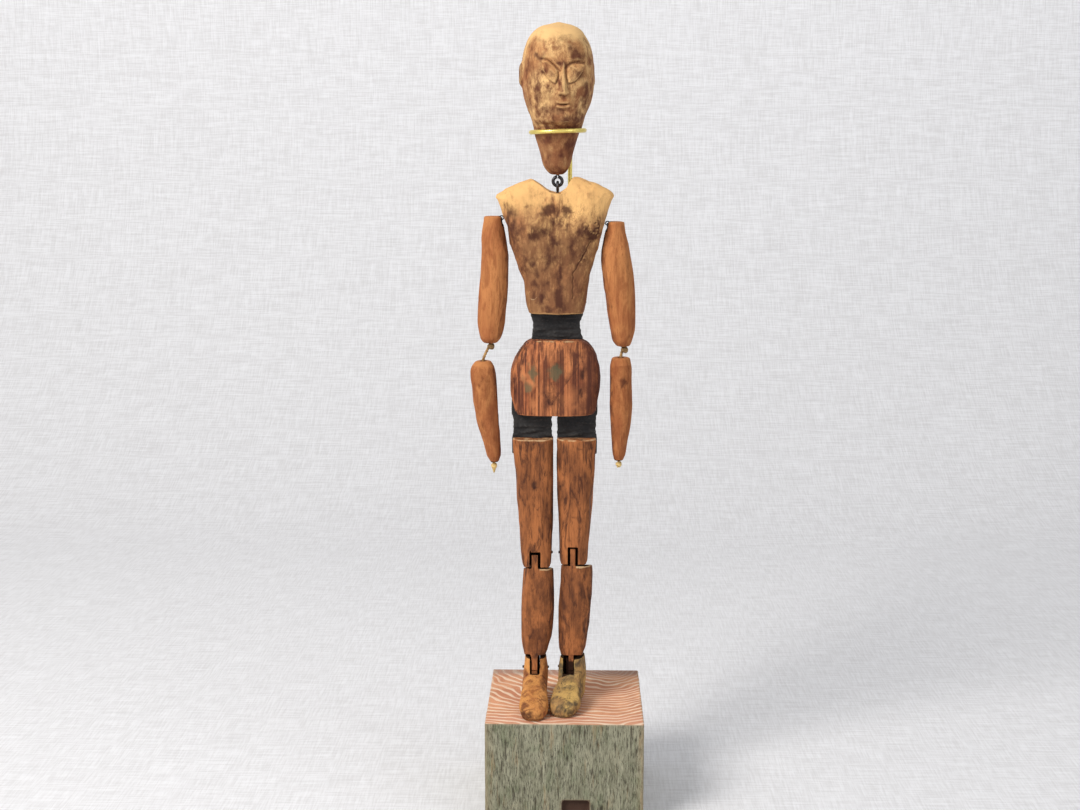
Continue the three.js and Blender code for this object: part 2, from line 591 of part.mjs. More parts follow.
function addLeg(side, { hipX, thigh, knee, shin, ankle, foot }) {
  const leg = new THREE.Group();
  leg.position.x = hipX;
  doll.add(leg);
  add(leg, `${side}_hip_strap`, strap(hipStrapWidth, thighTopZ, pelvisBottomZ), 'leather');

  // Thigh, with its slot open up the back so that the knee bends
  const cheekEndZ = kneePinZ - kneeShoulderDrop + kneeGap / 2;
  const thighHeight = thighTopZ - cheekEndZ;
  const thighOutline = sized(thigh.outline, thigh.width);
  const thighBlank = carve({
    bottom: cheekEndZ, height: thighHeight, outline: thighOutline, depth: sized(thighProfile, thighDepth),
    power: 3, ease: [0.8, 1.2], steps: 6, sides: 16,
  });
  const [slotLow, slotHigh] = slotSpan(knee);
  const slotRound = kneeTongueRound + kneeRoundGap;
  const kneeSlot = join(
    boxBetween([slotLow, -beyond, cheekEndZ - 1], [slotHigh, beyond, kneePinZ]),
    boxBetween([slotLow, 0, cheekEndZ], [slotHigh, beyond, kneePinZ + slotRound]),
    barAlongX(slotRound, slotHigh - slotLow, [knee.x, 0, kneePinZ], barSides),
  );
  const backBevel = plateAcrossX([
    [kneeBevelFrom, cheekEndZ], [beyond, cheekEndZ + slope(beyond - kneeBevelFrom, kneeBevel)],
    [beyond, cheekEndZ - 1], [kneeBevelFrom, cheekEndZ - 1],
  ], [-beyond, beyond]);
  add(leg, `${side}_thigh`, cut(
    thighBlank, kneeSlot, backBevel, kerf(thighTopZ - kerfDepth, thighTopZ + 1),
    barAlongX(kneePinDiameter / 2 + holeFit, 2 * beyond, [0, 0, kneePinZ], 16),
  ), 'redWood');
  const [outerX, innerX] = through(thighOutline)((kneePinZ - cheekEndZ) / thighHeight);
  add(leg, `${side}_knee_pin`, barAlongX(
    kneePinDiameter / 2, innerX - outerX + 2 * pinStandsOut, [(innerX + outerX) / 2, 0, kneePinZ], 16,
  ), 'steel');

  // Shin, a tongue at each end
  const shinTop = kneePinZ - kneeShoulderDrop - kneeGap / 2;
  const shinBottom = anklePinZ + ankleShoulderRise;
  const shinBody = carve({
    bottom: shinBottom, height: shinTop - shinBottom, outline: sized(shin.outline, shin.width),
    depth: sized(shinProfile, shinDepth), power: 2.8, ease: [1, 0.8], steps: 7, sides: 16,
  });
  const kneeTongue = tongueBlank(knee, kneeTongueRound, shinTop - tongueRoot, kneePinZ + kneeTongueRound);
  const ankleTongue = tongueBlank(ankle, ankleTongueRound, anklePinZ - ankleTongueRound, shinBottom + tongueRoot);
  add(leg, `${side}_shin`, cut(
    join(shinBody, kneeTongue, ankleTongue),
    tongueCutter({
      ...knee, shoulderZ: shinTop, pinZ: kneePinZ, round: kneeTongueRound, up: 1,
      bevel: kneeBevel, bevelFrom: kneeBevelFrom, side: 1,
    }),
    tongueCutter({
      ...ankle, shoulderZ: shinBottom, pinZ: anklePinZ, round: ankleTongueRound, up: -1,
      bevel: ankleBevel, bevelFrom: ankleBevelFrom, side: -1,
    }),
    barAlongX(kneePinDiameter / 2 + wornFit, 2 * beyond, [0, 0, kneePinZ], 16),
    barAlongX(anklePinDiameter / 2 + wornFit, 2 * beyond, [0, 0, anklePinZ], 16),
  ), 'redWood');

  // Foot: an ankle column on a shoe, slotted for the shin's tongue and turned about its middle
  const about = (geometry) => geometry.rotateZ(THREE.MathUtils.degToRad(-foot.turn)).translate(foot.x, 0, 0);
  const columnBottom = soleGap + ankleColumnBase;
  const columnTop = shinBottom - ankleGap;
  const columnHalf = ankleColumnDepth / 2;
  const column = carve({
    bottom: columnBottom, height: columnTop - columnBottom,
    outline: [
      [0, foot.low, foot.high], [0.6, foot.low, foot.high], [1, foot.low + columnDrawIn, foot.high - columnDrawIn],
    ],
    depth: [[0, -columnHalf - instepReach, columnHalf], [0.6, -columnHalf - instepReach / 5, columnHalf],
      [1, -columnHalf, columnHalf]],
    power: 2.6, ease: [1, 1.2], steps: 3, sides: 16,
  });
  const shoe = carve({
    bottom: -heelBack, height: foot.toe + heelBack, outline: sized(shoeOutline, foot.width),
    depth: [
      [0, -1, shoeHeight * 0.8], [0.2, -1, shoeHeight], [0.42, -1, shoeHeight * 0.98],
      [0.6, -1, shoeHeight * 0.76], [0.8, -1, toeHeight * 1.12], [0.93, -1, toeHeight * 0.95],
      [1, -1, toeHeight * 0.7],
    ],
    power: 2.7, ease: [2, 2.2], steps: 9, sides: 16,
  }).rotateX(Math.PI / 2).translate(0, 0, soleGap);
  // Under and behind the pin the heel is an arc about it, so a tipping foot clears the block.
  const rocker = solidOf(boxBetween([-beyond, 0, -beyond], [beyond, beyond, anklePinZ]))
    .subtract(solidOf(barAlongX(ankleHeight + soleGap / 2, 4 * beyond, [0, 0, anklePinZ], 60)));
  const [footSlotLow, footSlotHigh] = slotSpan({ ...ankle, x: ankle.x - foot.x });
  const ankleSlot = join(
    boxBetween([footSlotLow, -beyond, anklePinZ], [footSlotHigh, beyond, columnTop + 1]),
    barAlongX(
      ankleTongueRound + ankleRoundGap, footSlotHigh - footSlotLow, [ankle.x - foot.x, 0, anklePinZ], barSides,
    ),
  );
  add(leg, `${side}_foot`, about(cut(
    join(column, shoe),
    boxBetween([-beyond, -2 * beyond, -beyond], [beyond, beyond, soleGap]),
    geometryOf(rocker),
    ankleSlot,
    barAlongX(anklePinDiameter / 2 + holeFit, 2 * beyond, [0, 0, anklePinZ], 16),
  )), side === 'right' ? 'tanWood' : 'oliveWood');
  add(leg, `${side}_ankle_pin`, about(barAlongX(
    anklePinDiameter / 2, foot.high - foot.low + 2 * pinStandsOut, [(foot.low + foot.high) / 2, 0, anklePinZ], 16,
  )), 'steel');
}

for (const [side, place] of Object.entries(sides)) {
  addArm(side, place);
  addLeg(side, place);
}

export default model;
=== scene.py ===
"""Looks of the jointed wooden doll: carved wood, leather, twine, screw eyes, and its brass and block stand.

Lengths in the tables are millimetres in the doll's own frame: x towards its left, the doll facing -y,
z up from the top of the block. placed() turns them into metres in the row frame.
"""
import math
from types import SimpleNamespace

import bmesh
import bpy
import numpy as np
from mathutils import Matrix, Vector, noise


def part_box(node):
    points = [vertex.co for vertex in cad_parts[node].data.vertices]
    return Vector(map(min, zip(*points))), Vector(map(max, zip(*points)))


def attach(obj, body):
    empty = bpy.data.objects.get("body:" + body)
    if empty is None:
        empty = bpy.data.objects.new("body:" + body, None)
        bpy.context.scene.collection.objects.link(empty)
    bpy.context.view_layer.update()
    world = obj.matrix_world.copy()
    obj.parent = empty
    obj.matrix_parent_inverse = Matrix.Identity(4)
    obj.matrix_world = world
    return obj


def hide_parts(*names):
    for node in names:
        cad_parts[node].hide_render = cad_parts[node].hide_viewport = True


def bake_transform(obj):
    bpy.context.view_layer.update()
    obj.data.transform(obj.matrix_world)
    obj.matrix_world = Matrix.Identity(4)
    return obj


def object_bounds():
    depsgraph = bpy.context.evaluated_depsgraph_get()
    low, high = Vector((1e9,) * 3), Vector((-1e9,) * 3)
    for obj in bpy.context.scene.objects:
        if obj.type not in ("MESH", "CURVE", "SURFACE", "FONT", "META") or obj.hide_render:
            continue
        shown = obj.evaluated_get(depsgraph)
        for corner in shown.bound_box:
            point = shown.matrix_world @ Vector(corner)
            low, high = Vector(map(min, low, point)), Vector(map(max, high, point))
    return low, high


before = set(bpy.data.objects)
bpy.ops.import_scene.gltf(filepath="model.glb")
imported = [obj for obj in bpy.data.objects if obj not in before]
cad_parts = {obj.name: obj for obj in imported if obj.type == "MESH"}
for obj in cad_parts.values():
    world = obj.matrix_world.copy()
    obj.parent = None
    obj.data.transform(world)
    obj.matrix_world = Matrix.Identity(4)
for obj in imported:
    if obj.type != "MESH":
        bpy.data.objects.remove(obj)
cad_bounds = [list(corner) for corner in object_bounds()]
MM = 0.001
BLOCK_LOW, BLOCK_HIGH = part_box("stand_block")
DOLL_X, DOLL_Y = -5.6, -4.5
ORIGIN = np.array([DOLL_X, DOLL_Y, BLOCK_HIGH.z / MM])

# Camera: the photograph's view, 1513 pixels of focal length over 1080 pixels of width
CAMERA_PLACE = (0.006, -0.8425, 0.376)
CAMERA_DOWN, CAMERA_PAN = 9.7, 1.4
SENSOR, FOCAL = 36.0, 50.43


def make_camera():
    data = bpy.data.cameras.new("camera")
    data.sensor_width, data.lens = SENSOR, FOCAL
    camera = bpy.data.objects.new("camera", data)
    camera.location = CAMERA_PLACE
    camera.rotation_euler = (math.radians(90 - CAMERA_DOWN), 0, math.radians(CAMERA_PAN))
    bpy.context.scene.collection.objects.link(camera)
    bpy.context.scene.camera = camera


make_camera()


def levels(node):
    """The lowest and highest z of a CAD node, in millimetres above the block's top."""
    low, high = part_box(node)
    return low.z / MM - ORIGIN[2], high.z / MM - ORIGIN[2]


# What knife cuts and smoothing take off a carved surface, which its blank has in hand
GROW = 0.2


# Mesh building
def placed(points):
    """Points of the doll's frame in millimetres as row frame metres."""
    return (np.asarray(points, float) + ORIGIN) * MM


def new_object(name, points, faces):
    mesh = bpy.data.meshes.new(name)
    mesh.from_pydata([tuple(p) for p in placed(points)], [], [tuple(f) for f in faces])
    mesh.update()
    piece = bpy.data.objects.new(name, mesh)
    bpy.context.scene.collection.objects.link(piece)
    return piece


def points_of(piece):
    """A piece's vertices in millimetres in the doll's frame, and their normals."""
    count = len(piece.data.vertices)
    points, normals = np.empty(count * 3, np.float32), np.empty(count * 3, np.float32)
    piece.data.vertices.foreach_get("co", points)
    piece.data.vertices.foreach_get("normal", normals)
    return points.reshape(-1, 3).astype(float) / MM - ORIGIN, normals.reshape(-1, 3).astype(float)


def set_points(piece, points):
    piece.data.vertices.foreach_set("co", placed(points).astype(np.float32).ravel())
    piece.data.update()


def smooth_rows(rows):
    """A smooth function through rows of [share, values]."""
    table = np.array(rows, float)
    at, values = table[:, 0], table[:, 1:]
    slopes = np.zeros_like(values)
    slopes[1:-1] = (values[2:] - values[:-2]) / (at[2:] - at[:-2])[:, None]

    def evaluate(shares):
        shares = np.clip(np.atleast_1d(shares), at[0], at[-1])
        i = np.clip(np.searchsorted(at, shares, "right") - 1, 0, len(at) - 2)
        span = (at[i + 1] - at[i])[:, None]
        u = ((shares - at[i]) / span[:, 0])[:, None]
        return (
            values[i] * (2 * u**3 - 3 * u**2 + 1) + slopes[i] * span * (u**3 - 2 * u**2 + u)
            + values[i + 1] * (3 * u**2 - 2 * u**3) + slopes[i + 1] * span * (u**3 - u**2)
        )

    return evaluate


def loft(name, *skins):
    """Closed skins, each over rings, an array of [level][point][xyz] with rings anticlockwise from ahead."""
    points, faces = [], []
    for rings in skins:
        start = sum(len(part) for part in points)
        count, around = rings.shape[:2]
        points.append(np.concatenate([rings.reshape(-1, 3), rings[0].mean(0)[None], rings[-1].mean(0)[None]]))
        for level in range(count - 1):
            for i in range(around):
                a, b = start + level * around + i, start + level * around + (i + 1) % around
                faces.append((a, b, b + around, a + around))
        last, middle = start + (count - 1) * around, start + count * around
        for i in range(around):
            j = (i + 1) % around
            faces.append((middle, start + j, start + i))
            faces.append((middle + 1, last + i, last + j))
    return new_object(name, np.concatenate(points), faces)


def tube(path, radii, around=12):
    """Rings of a round tube along a path of points, for loft."""
    path = np.asarray(path, float)
    radii = np.broadcast_to(radii, len(path))
    ahead = np.gradient(path, axis=0)
    ahead /= np.linalg.norm(ahead, axis=1)[:, None]
    side = np.cross(ahead[0], (0.3, 0.9, 0.31))
    angle = 2 * math.pi * np.arange(around) / around
    rings = np.empty((len(path), around, 3))
    for i, (point, direction, radius) in enumerate(zip(path, ahead, radii)):
        side = side - direction * (side @ direction)
        side /= np.linalg.norm(side)
        up = np.cross(direction, side)
        rings[i] = point + radius * (np.cos(angle)[:, None] * side + np.sin(angle)[:, None] * up)
    return rings


def curve(points, step):
    """Evenly spaced points along a smooth curve through the given ones."""
    points = np.asarray(points, float)
    at = np.concatenate([[0], np.cumsum(np.linalg.norm(np.diff(points, axis=0), axis=1))])
    fine = smooth_rows(np.column_stack([at, points]))(np.linspace(0, at[-1], 400))
    along = np.concatenate([[0], np.cumsum(np.linalg.norm(np.diff(fine, axis=0), axis=1))])
    shares = np.linspace(0, along[-1], max(2, int(along[-1] / step)))
    return np.column_stack([np.interp(shares, along, fine[:, axis]) for axis in range(3)])


def carve(name, bottom, height, outline, profile, power=2.0, edges=(1, 1), step=0.8, around=96, grow=GROW):
    """A whittled blank along z, from rows of [share, low x, high x] and of [share, front y, back y]."""
    inner = np.linspace(edges[0], height - edges[1], max(4, int(height / step)))
    curl = 1 - np.cos(np.linspace(0, math.pi / 2, 5)[:-1])
    at = np.concatenate([edges[0] * curl, inner, height - edges[1] * curl[::-1]])
    width, depth = smooth_rows(outline)(at / height), smooth_rows(profile)(at / height)

    def inset(distance, radius):
        left = np.maximum(radius - distance, 0)
        return radius - np.sqrt(radius**2 - left**2)

    drawn_in = inset(at, edges[0]) + inset(height - at, edges[1]) - grow
    angle = 2 * math.pi * (np.arange(around) + 0.5) / around
    across = np.sign(np.cos(angle)) * np.abs(np.cos(angle)) ** (2 / power)
    along = np.sign(np.sin(angle)) * np.abs(np.sin(angle)) ** (2 / power)
    rings = np.empty((len(at), around, 3))
    rings[:, :, 0] = width.mean(1)[:, None] + ((width[:, 1] - width[:, 0]) / 2 - drawn_in)[:, None] * across
    rings[:, :, 1] = depth.mean(1)[:, None] + ((depth[:, 1] - depth[:, 0]) / 2 - drawn_in)[:, None] * along
    rings[:, :, 2] = (bottom + at)[:, None]
    return loft(name, rings)


def prism(low_end, high_end):
    """A prism between two rings of points, anticlockwise seen from the high end."""
    count = len(low_end)
    faces = [tuple(reversed(range(count))), tuple(range(count, 2 * count))]
    faces += [(i, (i + 1) % count, (i + 1) % count + count, i + count) for i in range(count)]
    return new_object("cutter", low_end + high_end, faces)


def circle(radius, x, y, sides):
    angles = [2 * math.pi * i / sides for i in range(sides)]
    return [(x + radius * math.cos(a), y + radius * math.sin(a)) for a in angles]


def box_cutter(low, high):
    (x0, y0, z0), (x1, y1, z1) = low, high
    corners = ((x0, y0), (x1, y0), (x1, y1), (x0, y1))
    return prism(*([(x, y, z) for x, y in corners] for z in (z0, z1)))


def prism_across(outline, x0, x1):
    """A prism with a (y, z) outline, anticlockwise seen from +x, between two x."""
    return prism(*([(x, y, z) for y, z in outline] for x in (x0, x1)))


def bar_across(radius, x0, x1, z, sides=64):
    return prism_across(circle(radius, 0, z, sides), x0, x1)


def bar_up(radius, x, y, z0, z1, sides=32):
    return prism(*([(px, py, z) for px, py in circle(radius, x, y, sides)] for z in (z0, z1)))


def applied(piece):
    """The piece with its modifiers made real."""
    evaluated = piece.evaluated_get(bpy.context.evaluated_depsgraph_get())
    mesh = bpy.data.meshes.new_from_object(evaluated)
    old = piece.data
    piece.modifiers.clear()
    piece.data = mesh
    mesh.name = piece.name
    bpy.data.meshes.remove(old)
    return piece


def boolean(piece, others, operation):
    for other in others:
        modifier = piece.modifiers.new("boolean", "BOOLEAN")
        modifier.operation, modifier.solver, modifier.object = operation, "MANIFOLD", other
    applied(piece)
    for other in others:
        mesh = other.data
        bpy.data.objects.remove(other)
        bpy.data.meshes.remove(mesh)
    return piece


def cut(piece, *cutters):
    return boolean(piece, cutters, "DIFFERENCE")


def join(piece, *others):
    return boolean(piece, others, "UNION")


def worn(piece, voxel):
    """An even mesh over the piece, its edges softened a little."""
    modifier = piece.modifiers.new("remesh", "REMESH")
    modifier.mode, modifier.voxel_size, modifier.use_smooth_shade = "VOXEL", voxel * MM, True
    modifier = piece.modifiers.new("smooth", "SMOOTH")
    modifier.factor, modifier.iterations = 0.5, 1
    applied(piece)
    piece.data.shade_smooth()


def whittle(piece, seed, cuts, depth, reach):
    """Long flat knife cuts: planes just under the surface, each within its own reach across and along z."""
    random = np.random.default_rng(seed)
    points, normals = points_of(piece)
    for i in random.integers(0, len(points), cuts):
        normal = normals[i] * (1, 1, 0.5)
        normal /= np.linalg.norm(normal)
        offset = points - (points[i] - normal * depth * random.uniform(0.5, 1))
        near = np.hypot(np.hypot(offset[:, 0], offset[:, 1]) / reach[0], offset[:, 2] / reach[1])
        over = offset @ normal
        cut_away = np.clip(over, 0, 2 * depth) * np.clip(3 * (1 - near), 0, 1) * (normals @ normal > 0.3)
        points -= cut_away[:, None] * normal
    set_points(piece, points)


def noise_at(points, scale, shift=0.0):
    """Noise at points that are scaled and then shifted."""
    return np.array([noise.noise(Vector(point)) for point in points * np.array(scale) + shift])


def roughen(piece, amount, size, stretch, seed):
    """Slow swells and hollows over a surface, longer along the grain."""
    points, normals = points_of(piece)
    swell = noise_at(points, np.array([1, 1, 1 / stretch]) / size, seed * 7.3)
    set_points(piece, points + normals * (swell * amount)[:, None])


# How each carving is worked: voxel; number, depth and reach of the knife cuts; height, size and
# stretch of the swells
HANDWORK = {
    "head": (0.34, 110, 0.1, (5, 8), 0.16, 8, 1.3),
    "torso": (0.42, 200, 0.22, (6, 12), 0.22, 10, 2.0),
    "pelvis": (0.42, 100, 0.24, (6, 14), 0.2, 9, 2.0),
    "thigh": (0.38, 90, 0.22, (6, 14), 0.16, 8, 2.5),
    "shin": (0.34, 80, 0.2, (6, 14), 0.14, 8, 2.5),
    "foot": (0.38, 70, 0.22, (6, 6), 0.2, 8, 1.0),
    "upper_arm": (0.38, 80, 0.16, (5, 12), 0.14, 8, 2.5),
    "forearm": (0.36, 80, 0.16, (5, 12), 0.13, 8, 2.5),
}


def worked(piece, kind, seed, swell_seed=None):
    """The points and normals of a blank after it is worn, whittled and roughened."""
    voxel, cuts, depth, reach, swell, size, stretch = HANDWORK[kind]
    worn(piece, voxel)
    whittle(piece, seed, cuts, depth, reach)
    roughen(piece, swell, size, stretch, seed if swell_seed is None else swell_seed)
    return points_of(piece)


def turned(points, angle, x):
    """Points turned about their own z axis and moved along x."""
    result = points.copy()
    result[:, 0] = points[:, 0] * math.cos(angle) - points[:, 1] * math.sin(angle) + x
    result[:, 1] = points[:, 0] * math.sin(angle) + points[:, 1] * math.cos(angle)
    return result


def rise(values, start, length):
    """0 up to the start, then growing to 1 over the length."""
    return np.clip((values - start) / length, 0, 1)


def band(values, middle, half):
    """1 at the middle, fading out on both sides."""
    return np.exp(-(((values - middle) / half) ** 2))


def bump(x, z, at_x, at_z, across, up, power=2):
    return np.exp(-np.abs((x - at_x) / across) ** power - np.abs((z - at_z) / up) ** power)


def forms(x, z, rows):
    """The sum of soft bumps, each (x, z, half width, half height, height)."""
    return sum(height * bump(x, z, *row) for *row, height in rows)


def beside(x, spots):
    return [(x + at, *rest) for at, *rest in spots]


def paint(piece, name, values):
    """A share from 0 to 1 at each vertex, for the materials."""
    attribute = piece.data.attributes.new(name, "FLOAT", "POINT")
    attribute.data.foreach_set("value", np.clip(values, 0, 1).astype(np.float32))


def torn(points, reach=2.2, size=0.27):
    """Points moved about by a slow noise, so that a spot measured on them has an uneven edge."""
    return points + reach * np.array([noise.noise_vector(Vector(p) * size) for p in points])


def blots(points, spots, facing=-1):
    """Soft uneven spots on the side facing -y or +y. Each is (x, z, half width, half height, strength)."""
    total, moved = np.zeros(len(points)), torn(points)
    for x, z, across, up, strength in spots:
        distance = ((moved[:, 0] - x) / across) ** 2 + ((moved[:, 2] - z) / up) ** 2
        total = np.maximum(total, strength * np.exp(-0.7 * distance**0.8))
    return total * (points[:, 1] * facing > 0)


# Outlines, as in the CAD source: x in shares of the width, y in shares of the depth
NECK_X, HEAD_TURN = 0.8, 9.0
HEAD_WIDTH, HEAD_DEPTH = 40, 40
HEAD_OUTLINE = [
    (0, -.13, .11), (.06, -.195, .17), (.15, -.24, .215), (.27, -.318, .285), (.31, -.328, .325),
    (.38, -.378, .36), (.48, -.45, .445), (.6, -.487, .487), (.69, -.488, .485), (.78, -.472, .472),
    (.87, -.42, .42), (.94, -.325, .33), (.98, -.2, .215), (1, -.05, .065),
]
HEAD_PROFILE = [
    (0, -.11, .11), (.06, -.173, .173), (.15, -.215, .217), (.27, -.305, .29), (.325, -.323, .315),
    (.355, -.415, .34), (.48, -.465, .41), (.6, -.49, .475), (.74, -.485, .515), (.86, -.425, .475),
    (.95, -.29, .345), (1, -.06, .12),
]
TORSO_WIDTH, TORSO_DEPTH = 62, 25
TORSO_OUTLINE = [
    (0, -.238, .244), (.07, -.259, .268), (.15, -.273, .274), (.25, -.29, .294), (.36, -.347, .335),
    (.5, -.407, .387), (.6, -.434, .414), (.72, -.465, .443), (.83, -.508, .485), (.865, -.532, .506),
    (.9, -.478, .477), (.95, -.347, .37), (1, -.216, .229),
]
TORSO_PROFILE = [
    (0, -.384, .384), (.2, -.424, .416), (.45, -.504, .464), (.62, -.528, .48), (.8, -.456, .44),
    (.88, -.392, .392), (1, -.304, .304),
]
NECKLINE_DROP = 8.3
NECKLINE = [
    (-.306, 1.24), (-.22, .85), (-.147, .48), (-.1, .2), (-.06, .06), (-.025, 0), (.018, 0), (.045, .13),
    (.078, .325), (.096, .55), (.113, .76), (.128, .9), (.18, 1.24),
]
PELVIS_WIDTH, PELVIS_DEPTH = 50, 25
PELVIS_OUTLINE = [
    (0, -.44, .425), (.05, -.462, .445), (.17, -.488, .464), (.35, -.504, .492), (.6, -.498, .494),
    (.75, -.458, .464),
    (.86, -.412, .424), (.95, -.352, .364), (1, -.308, .316),
]
PELVIS_PROFILE = [(0, -.48, .48), (.4, -.504, .504), (.8, -.472, .472), (1, -.416, .416)]
THIGH_DEPTH, SHIN_DEPTH = 20.4, 20.2
THIGH_PROFILE = [(0, -.48, .48), (.5, -.5, .5), (1, -.49, .49)]
SHIN_PROFILE = [(0, -.396, .396), (.3, -.446, .465), (.7, -.485, .515), (1, -.485, .485)]
SHOE_OUTLINE = [
    (0, -.31, .31), (.2, -.425, .425), (.45, -.43, .43), (.75, -.5, .5), (.92, -.41, .41), (1, -.25, .25),
]

# Levels of the hanging chain, in millimetres above the block's top
SOLE, ANKLE_PIN_Z, KNEE_PIN_Z, THIGH_TOP = 0.4, 19.0, 87.5, 154.5
PELVIS_BOTTOM, PELVIS_TOP, TORSO_BOTTOM, TORSO_TOP = 168.3, 210.2, 224.7, 299.5
NECKLINE_Z = TORSO_TOP - NECKLINE_DROP

# Fits
STRAP_THICK, KERF_FIT, STRAP_HOLD, FIT, PIN_FIT, WORN_FIT = 2.6, 0.25, 9.5, 0.3, 0.12, 0.35
KERF_HALF, KERF_DEPTH = STRAP_THICK / 2 + KERF_FIT, STRAP_HOLD + FIT
FAR = 60

# Knee and ankle: a tongue with a round end turns in a slot, and is narrowed where its front shows
JOINTS = {
    "knee": {
        "pin_z": KNEE_PIN_Z, "pin": 1.7, "radius": 9.5, "round_gap": 0.7,
        "bevel": 18, "bevel_from": -6, "up": 1,
    },
    "ankle": {
        "pin_z": ANKLE_PIN_Z, "pin": 1.6, "radius": 7.9, "round_gap": 0.6,
        "bevel": 12, "bevel_from": -3, "up": -1,
    },
}
KNEE_DROP, KNEE_GAP, ANKLE_RISE, ANKLE_GAP = 7.6, 0.8, 8.5, 0.8
TONGUE_FLAT, TONGUE_ROOT, RELIEF_BACK, TONGUE_FRONT, TONGUE_LIFT = 0.2, 6, -4.5, -8.3, 0.4
CHEEK_LIP, CHEEK_LIP_FRONT, SLOT_FRONT, JOINT_FILL, FILL_INSET = 0.5, -8.4, -6.8, 0.35, 0.3

# Feet and arms
ANKLE_HEIGHT, HEEL_BACK, SHOE_HEIGHT, TOE_HEIGHT = 18.6, 10.4, 17, 8.6
COLUMN_DEPTH, COLUMN_BASE, COLUMN_DRAW_IN, INSTEP_REACH = 16.4, 6, 0.9, 3
LEG_WIDTH = 22
ARM_RING, ARM_WIRE, EYE_POCKET, EYE_REACH = 1.05, 0.65, 2.9, 1.7
EYE_SHANK, SHANK_BORE, SHANK_DEPTH = 9, 0.6, 10.6
TWINE_BORE, TWINE_HOLE, KNOT, WRIST_KNOT, KNOT_ASIDE = 2.6, 6, 4.2, 3.6, 1.3

# Each side. An arm's outline is (share, low x, high x, half depth) in shares of its width, x from
# the shoulder eye. A leg's x is from the middle of its hip strap.
SIDES = {
    "right": {
        "arm_width": 15, "arm": [
            (0, -.707, -.177, .293), (.04, -.8, -.06, .413), (.12, -.887, .07, .467), (.25, -.893, .147, .5),
            (.45, -.827, .215, .507), (.62, -.76, .24, .5), (.74, -.727, .247, .487),
            (.86, -.733, .12, .427),
            (1, -.64, .04, .333),
        ],
        "fore_width": 13.7, "fore": [
            (0, -.54, -.175, .19), (.07, -.65, -.092, .285), (.22, -.81, -.109, .365),
            (.38, -1.022, -.135, .438),
            (.55, -1.168, -.164, .482), (.72, -1.263, -.223, .504), (.86, -1.314, -.274, .504),
            (.94, -1.255, -.347, .438), (1, -1.109, -.457, .336),
        ],
        "outward": -1, "hip": -13.1, "leg_seed": 41, "arm_seed": 61, "strap_seed": 5.0,
        "knee_shows": (-2.3, 1.7), "ankle_shows": (-1.9, 1.9),
        "knee_lift": 0.6, "slot_lift": 0.0, "tongue_top": 0.6,
        "thigh": [
            (0, -.25, .47), (.06, -.272, .48), (.17, -.312, .505), (.35, -.358, .525), (.6, -.41, .53),
            (.8, -.45, .53), (1, -.5, .53),
        ],
        "knee": (1.6, 5.5, .3), "shin_width": 17.7, "shin": [
            (0, -.27, .44), (.1, -.325, .565), (.23, -.36, .619), (.4, -.366, .681), (.6, -.35, .703),
            (.8, -.318, .681), (.93, -.29, .669), (1, -.262, .635),
        ],
        "ankle": (1.4, 4.7, .3), "foot_x": 1.3, "toe": 37.5, "turn": 0, "foot_width": 16.2,
        "column": (-6.4, 7.3),
        "thigh_marks": [(1.6, 129, 1.6, 2.2, .95), (1.4, 116, 1.4, 5, .4)],
        "shin_lights": [(-3, 68, 3, 9, .7), (-1, 50, 2, 5, .5)],
        "scuffs": [(-4, 3.4, 3.4, 2.4, .95), (5.5, 14, 1.6, 8, .6), (1, 3, 5, 1.6, .7)],
        "tuft": (40, 3.4, 0.85),
    },
    "left": {
        "arm_width": 16.4, "arm": [
            (0, .329, .78, .268), (.05, .207, .878, .378), (.12, .146, .939, .427), (.24, .055, .963, .463),
            (.4, -.055, .945, .488), (.58, -.146, .878, .5), (.72, -.201, .78, .488),
            (.86, -.134, .665, .402),
            (1, -.037, .555, .299),
        ],
        "fore_width": 12.2, "fore": [
            (0, .393, .803, .213), (.07, .328, .91, .311), (.2, .279, 1, .393), (.35, .23, 1.115, .459),
            (.55, .18, 1.189, .5), (.75, .172, 1.148, .492), (.9, .164, 1.139, .492), (1, .246, 1.066, .418),
        ],
        "outward": 1, "hip": 11.7, "leg_seed": 51, "arm_seed": 71, "strap_seed": 8.0,
        "knee_shows": (-1.7, 1.6), "ankle_shows": (-1.5, 1.5),
        "knee_lift": 2.4, "slot_lift": 5.4, "tongue_top": 4.4,
        "thigh": [
            (0, -.405, .286), (.06, -.42, .3), (.17, -.43, .322), (.35, -.45, .372), (.6, -.488, .45),
            (.8, -.5, .482), (1, -.5, .505),
        ],
        "knee": (-1.9, 4.8, .3), "shin_width": 17.4, "shin": [
            (0, -.5, .26), (.1, -.555, .334), (.23, -.562, .385), (.4, -.568, .466), (.6, -.557, .512),
            (.8, -.5, .54), (.93, -.5, .53), (1, -.47, .5),
        ],
        "ankle": (-2.6, 3.1, 1.6), "foot_x": -1.75, "toe": 32.5, "turn": 11, "foot_width": 16.9,
        "column": (-7.6, 7.4),
        "thigh_marks": [(-8, 128, 1.6, 12, .6), (2, 150, 1.4, 1.2, .6), (6, 110, 2, 4, .4)],
        "shin_lights": [(0.5, 66, 1.6, 11, .8), (-1.5, 42, 2.4, 7, .7)],
        "scuffs": [(-5, 5, 2.4, 3, .8), (-2, 3, 3, 1.6, .7), (-1, 15, 2.6, 2, .6), (5, 10, 1.4, 7, .5)],
        "tuft": (22, 1.2, 0.2),
    },
}


def sized(rows, size, offset=0.0):
    return [(share, low * size + offset, high * size + offset) for share, low, high in rows]


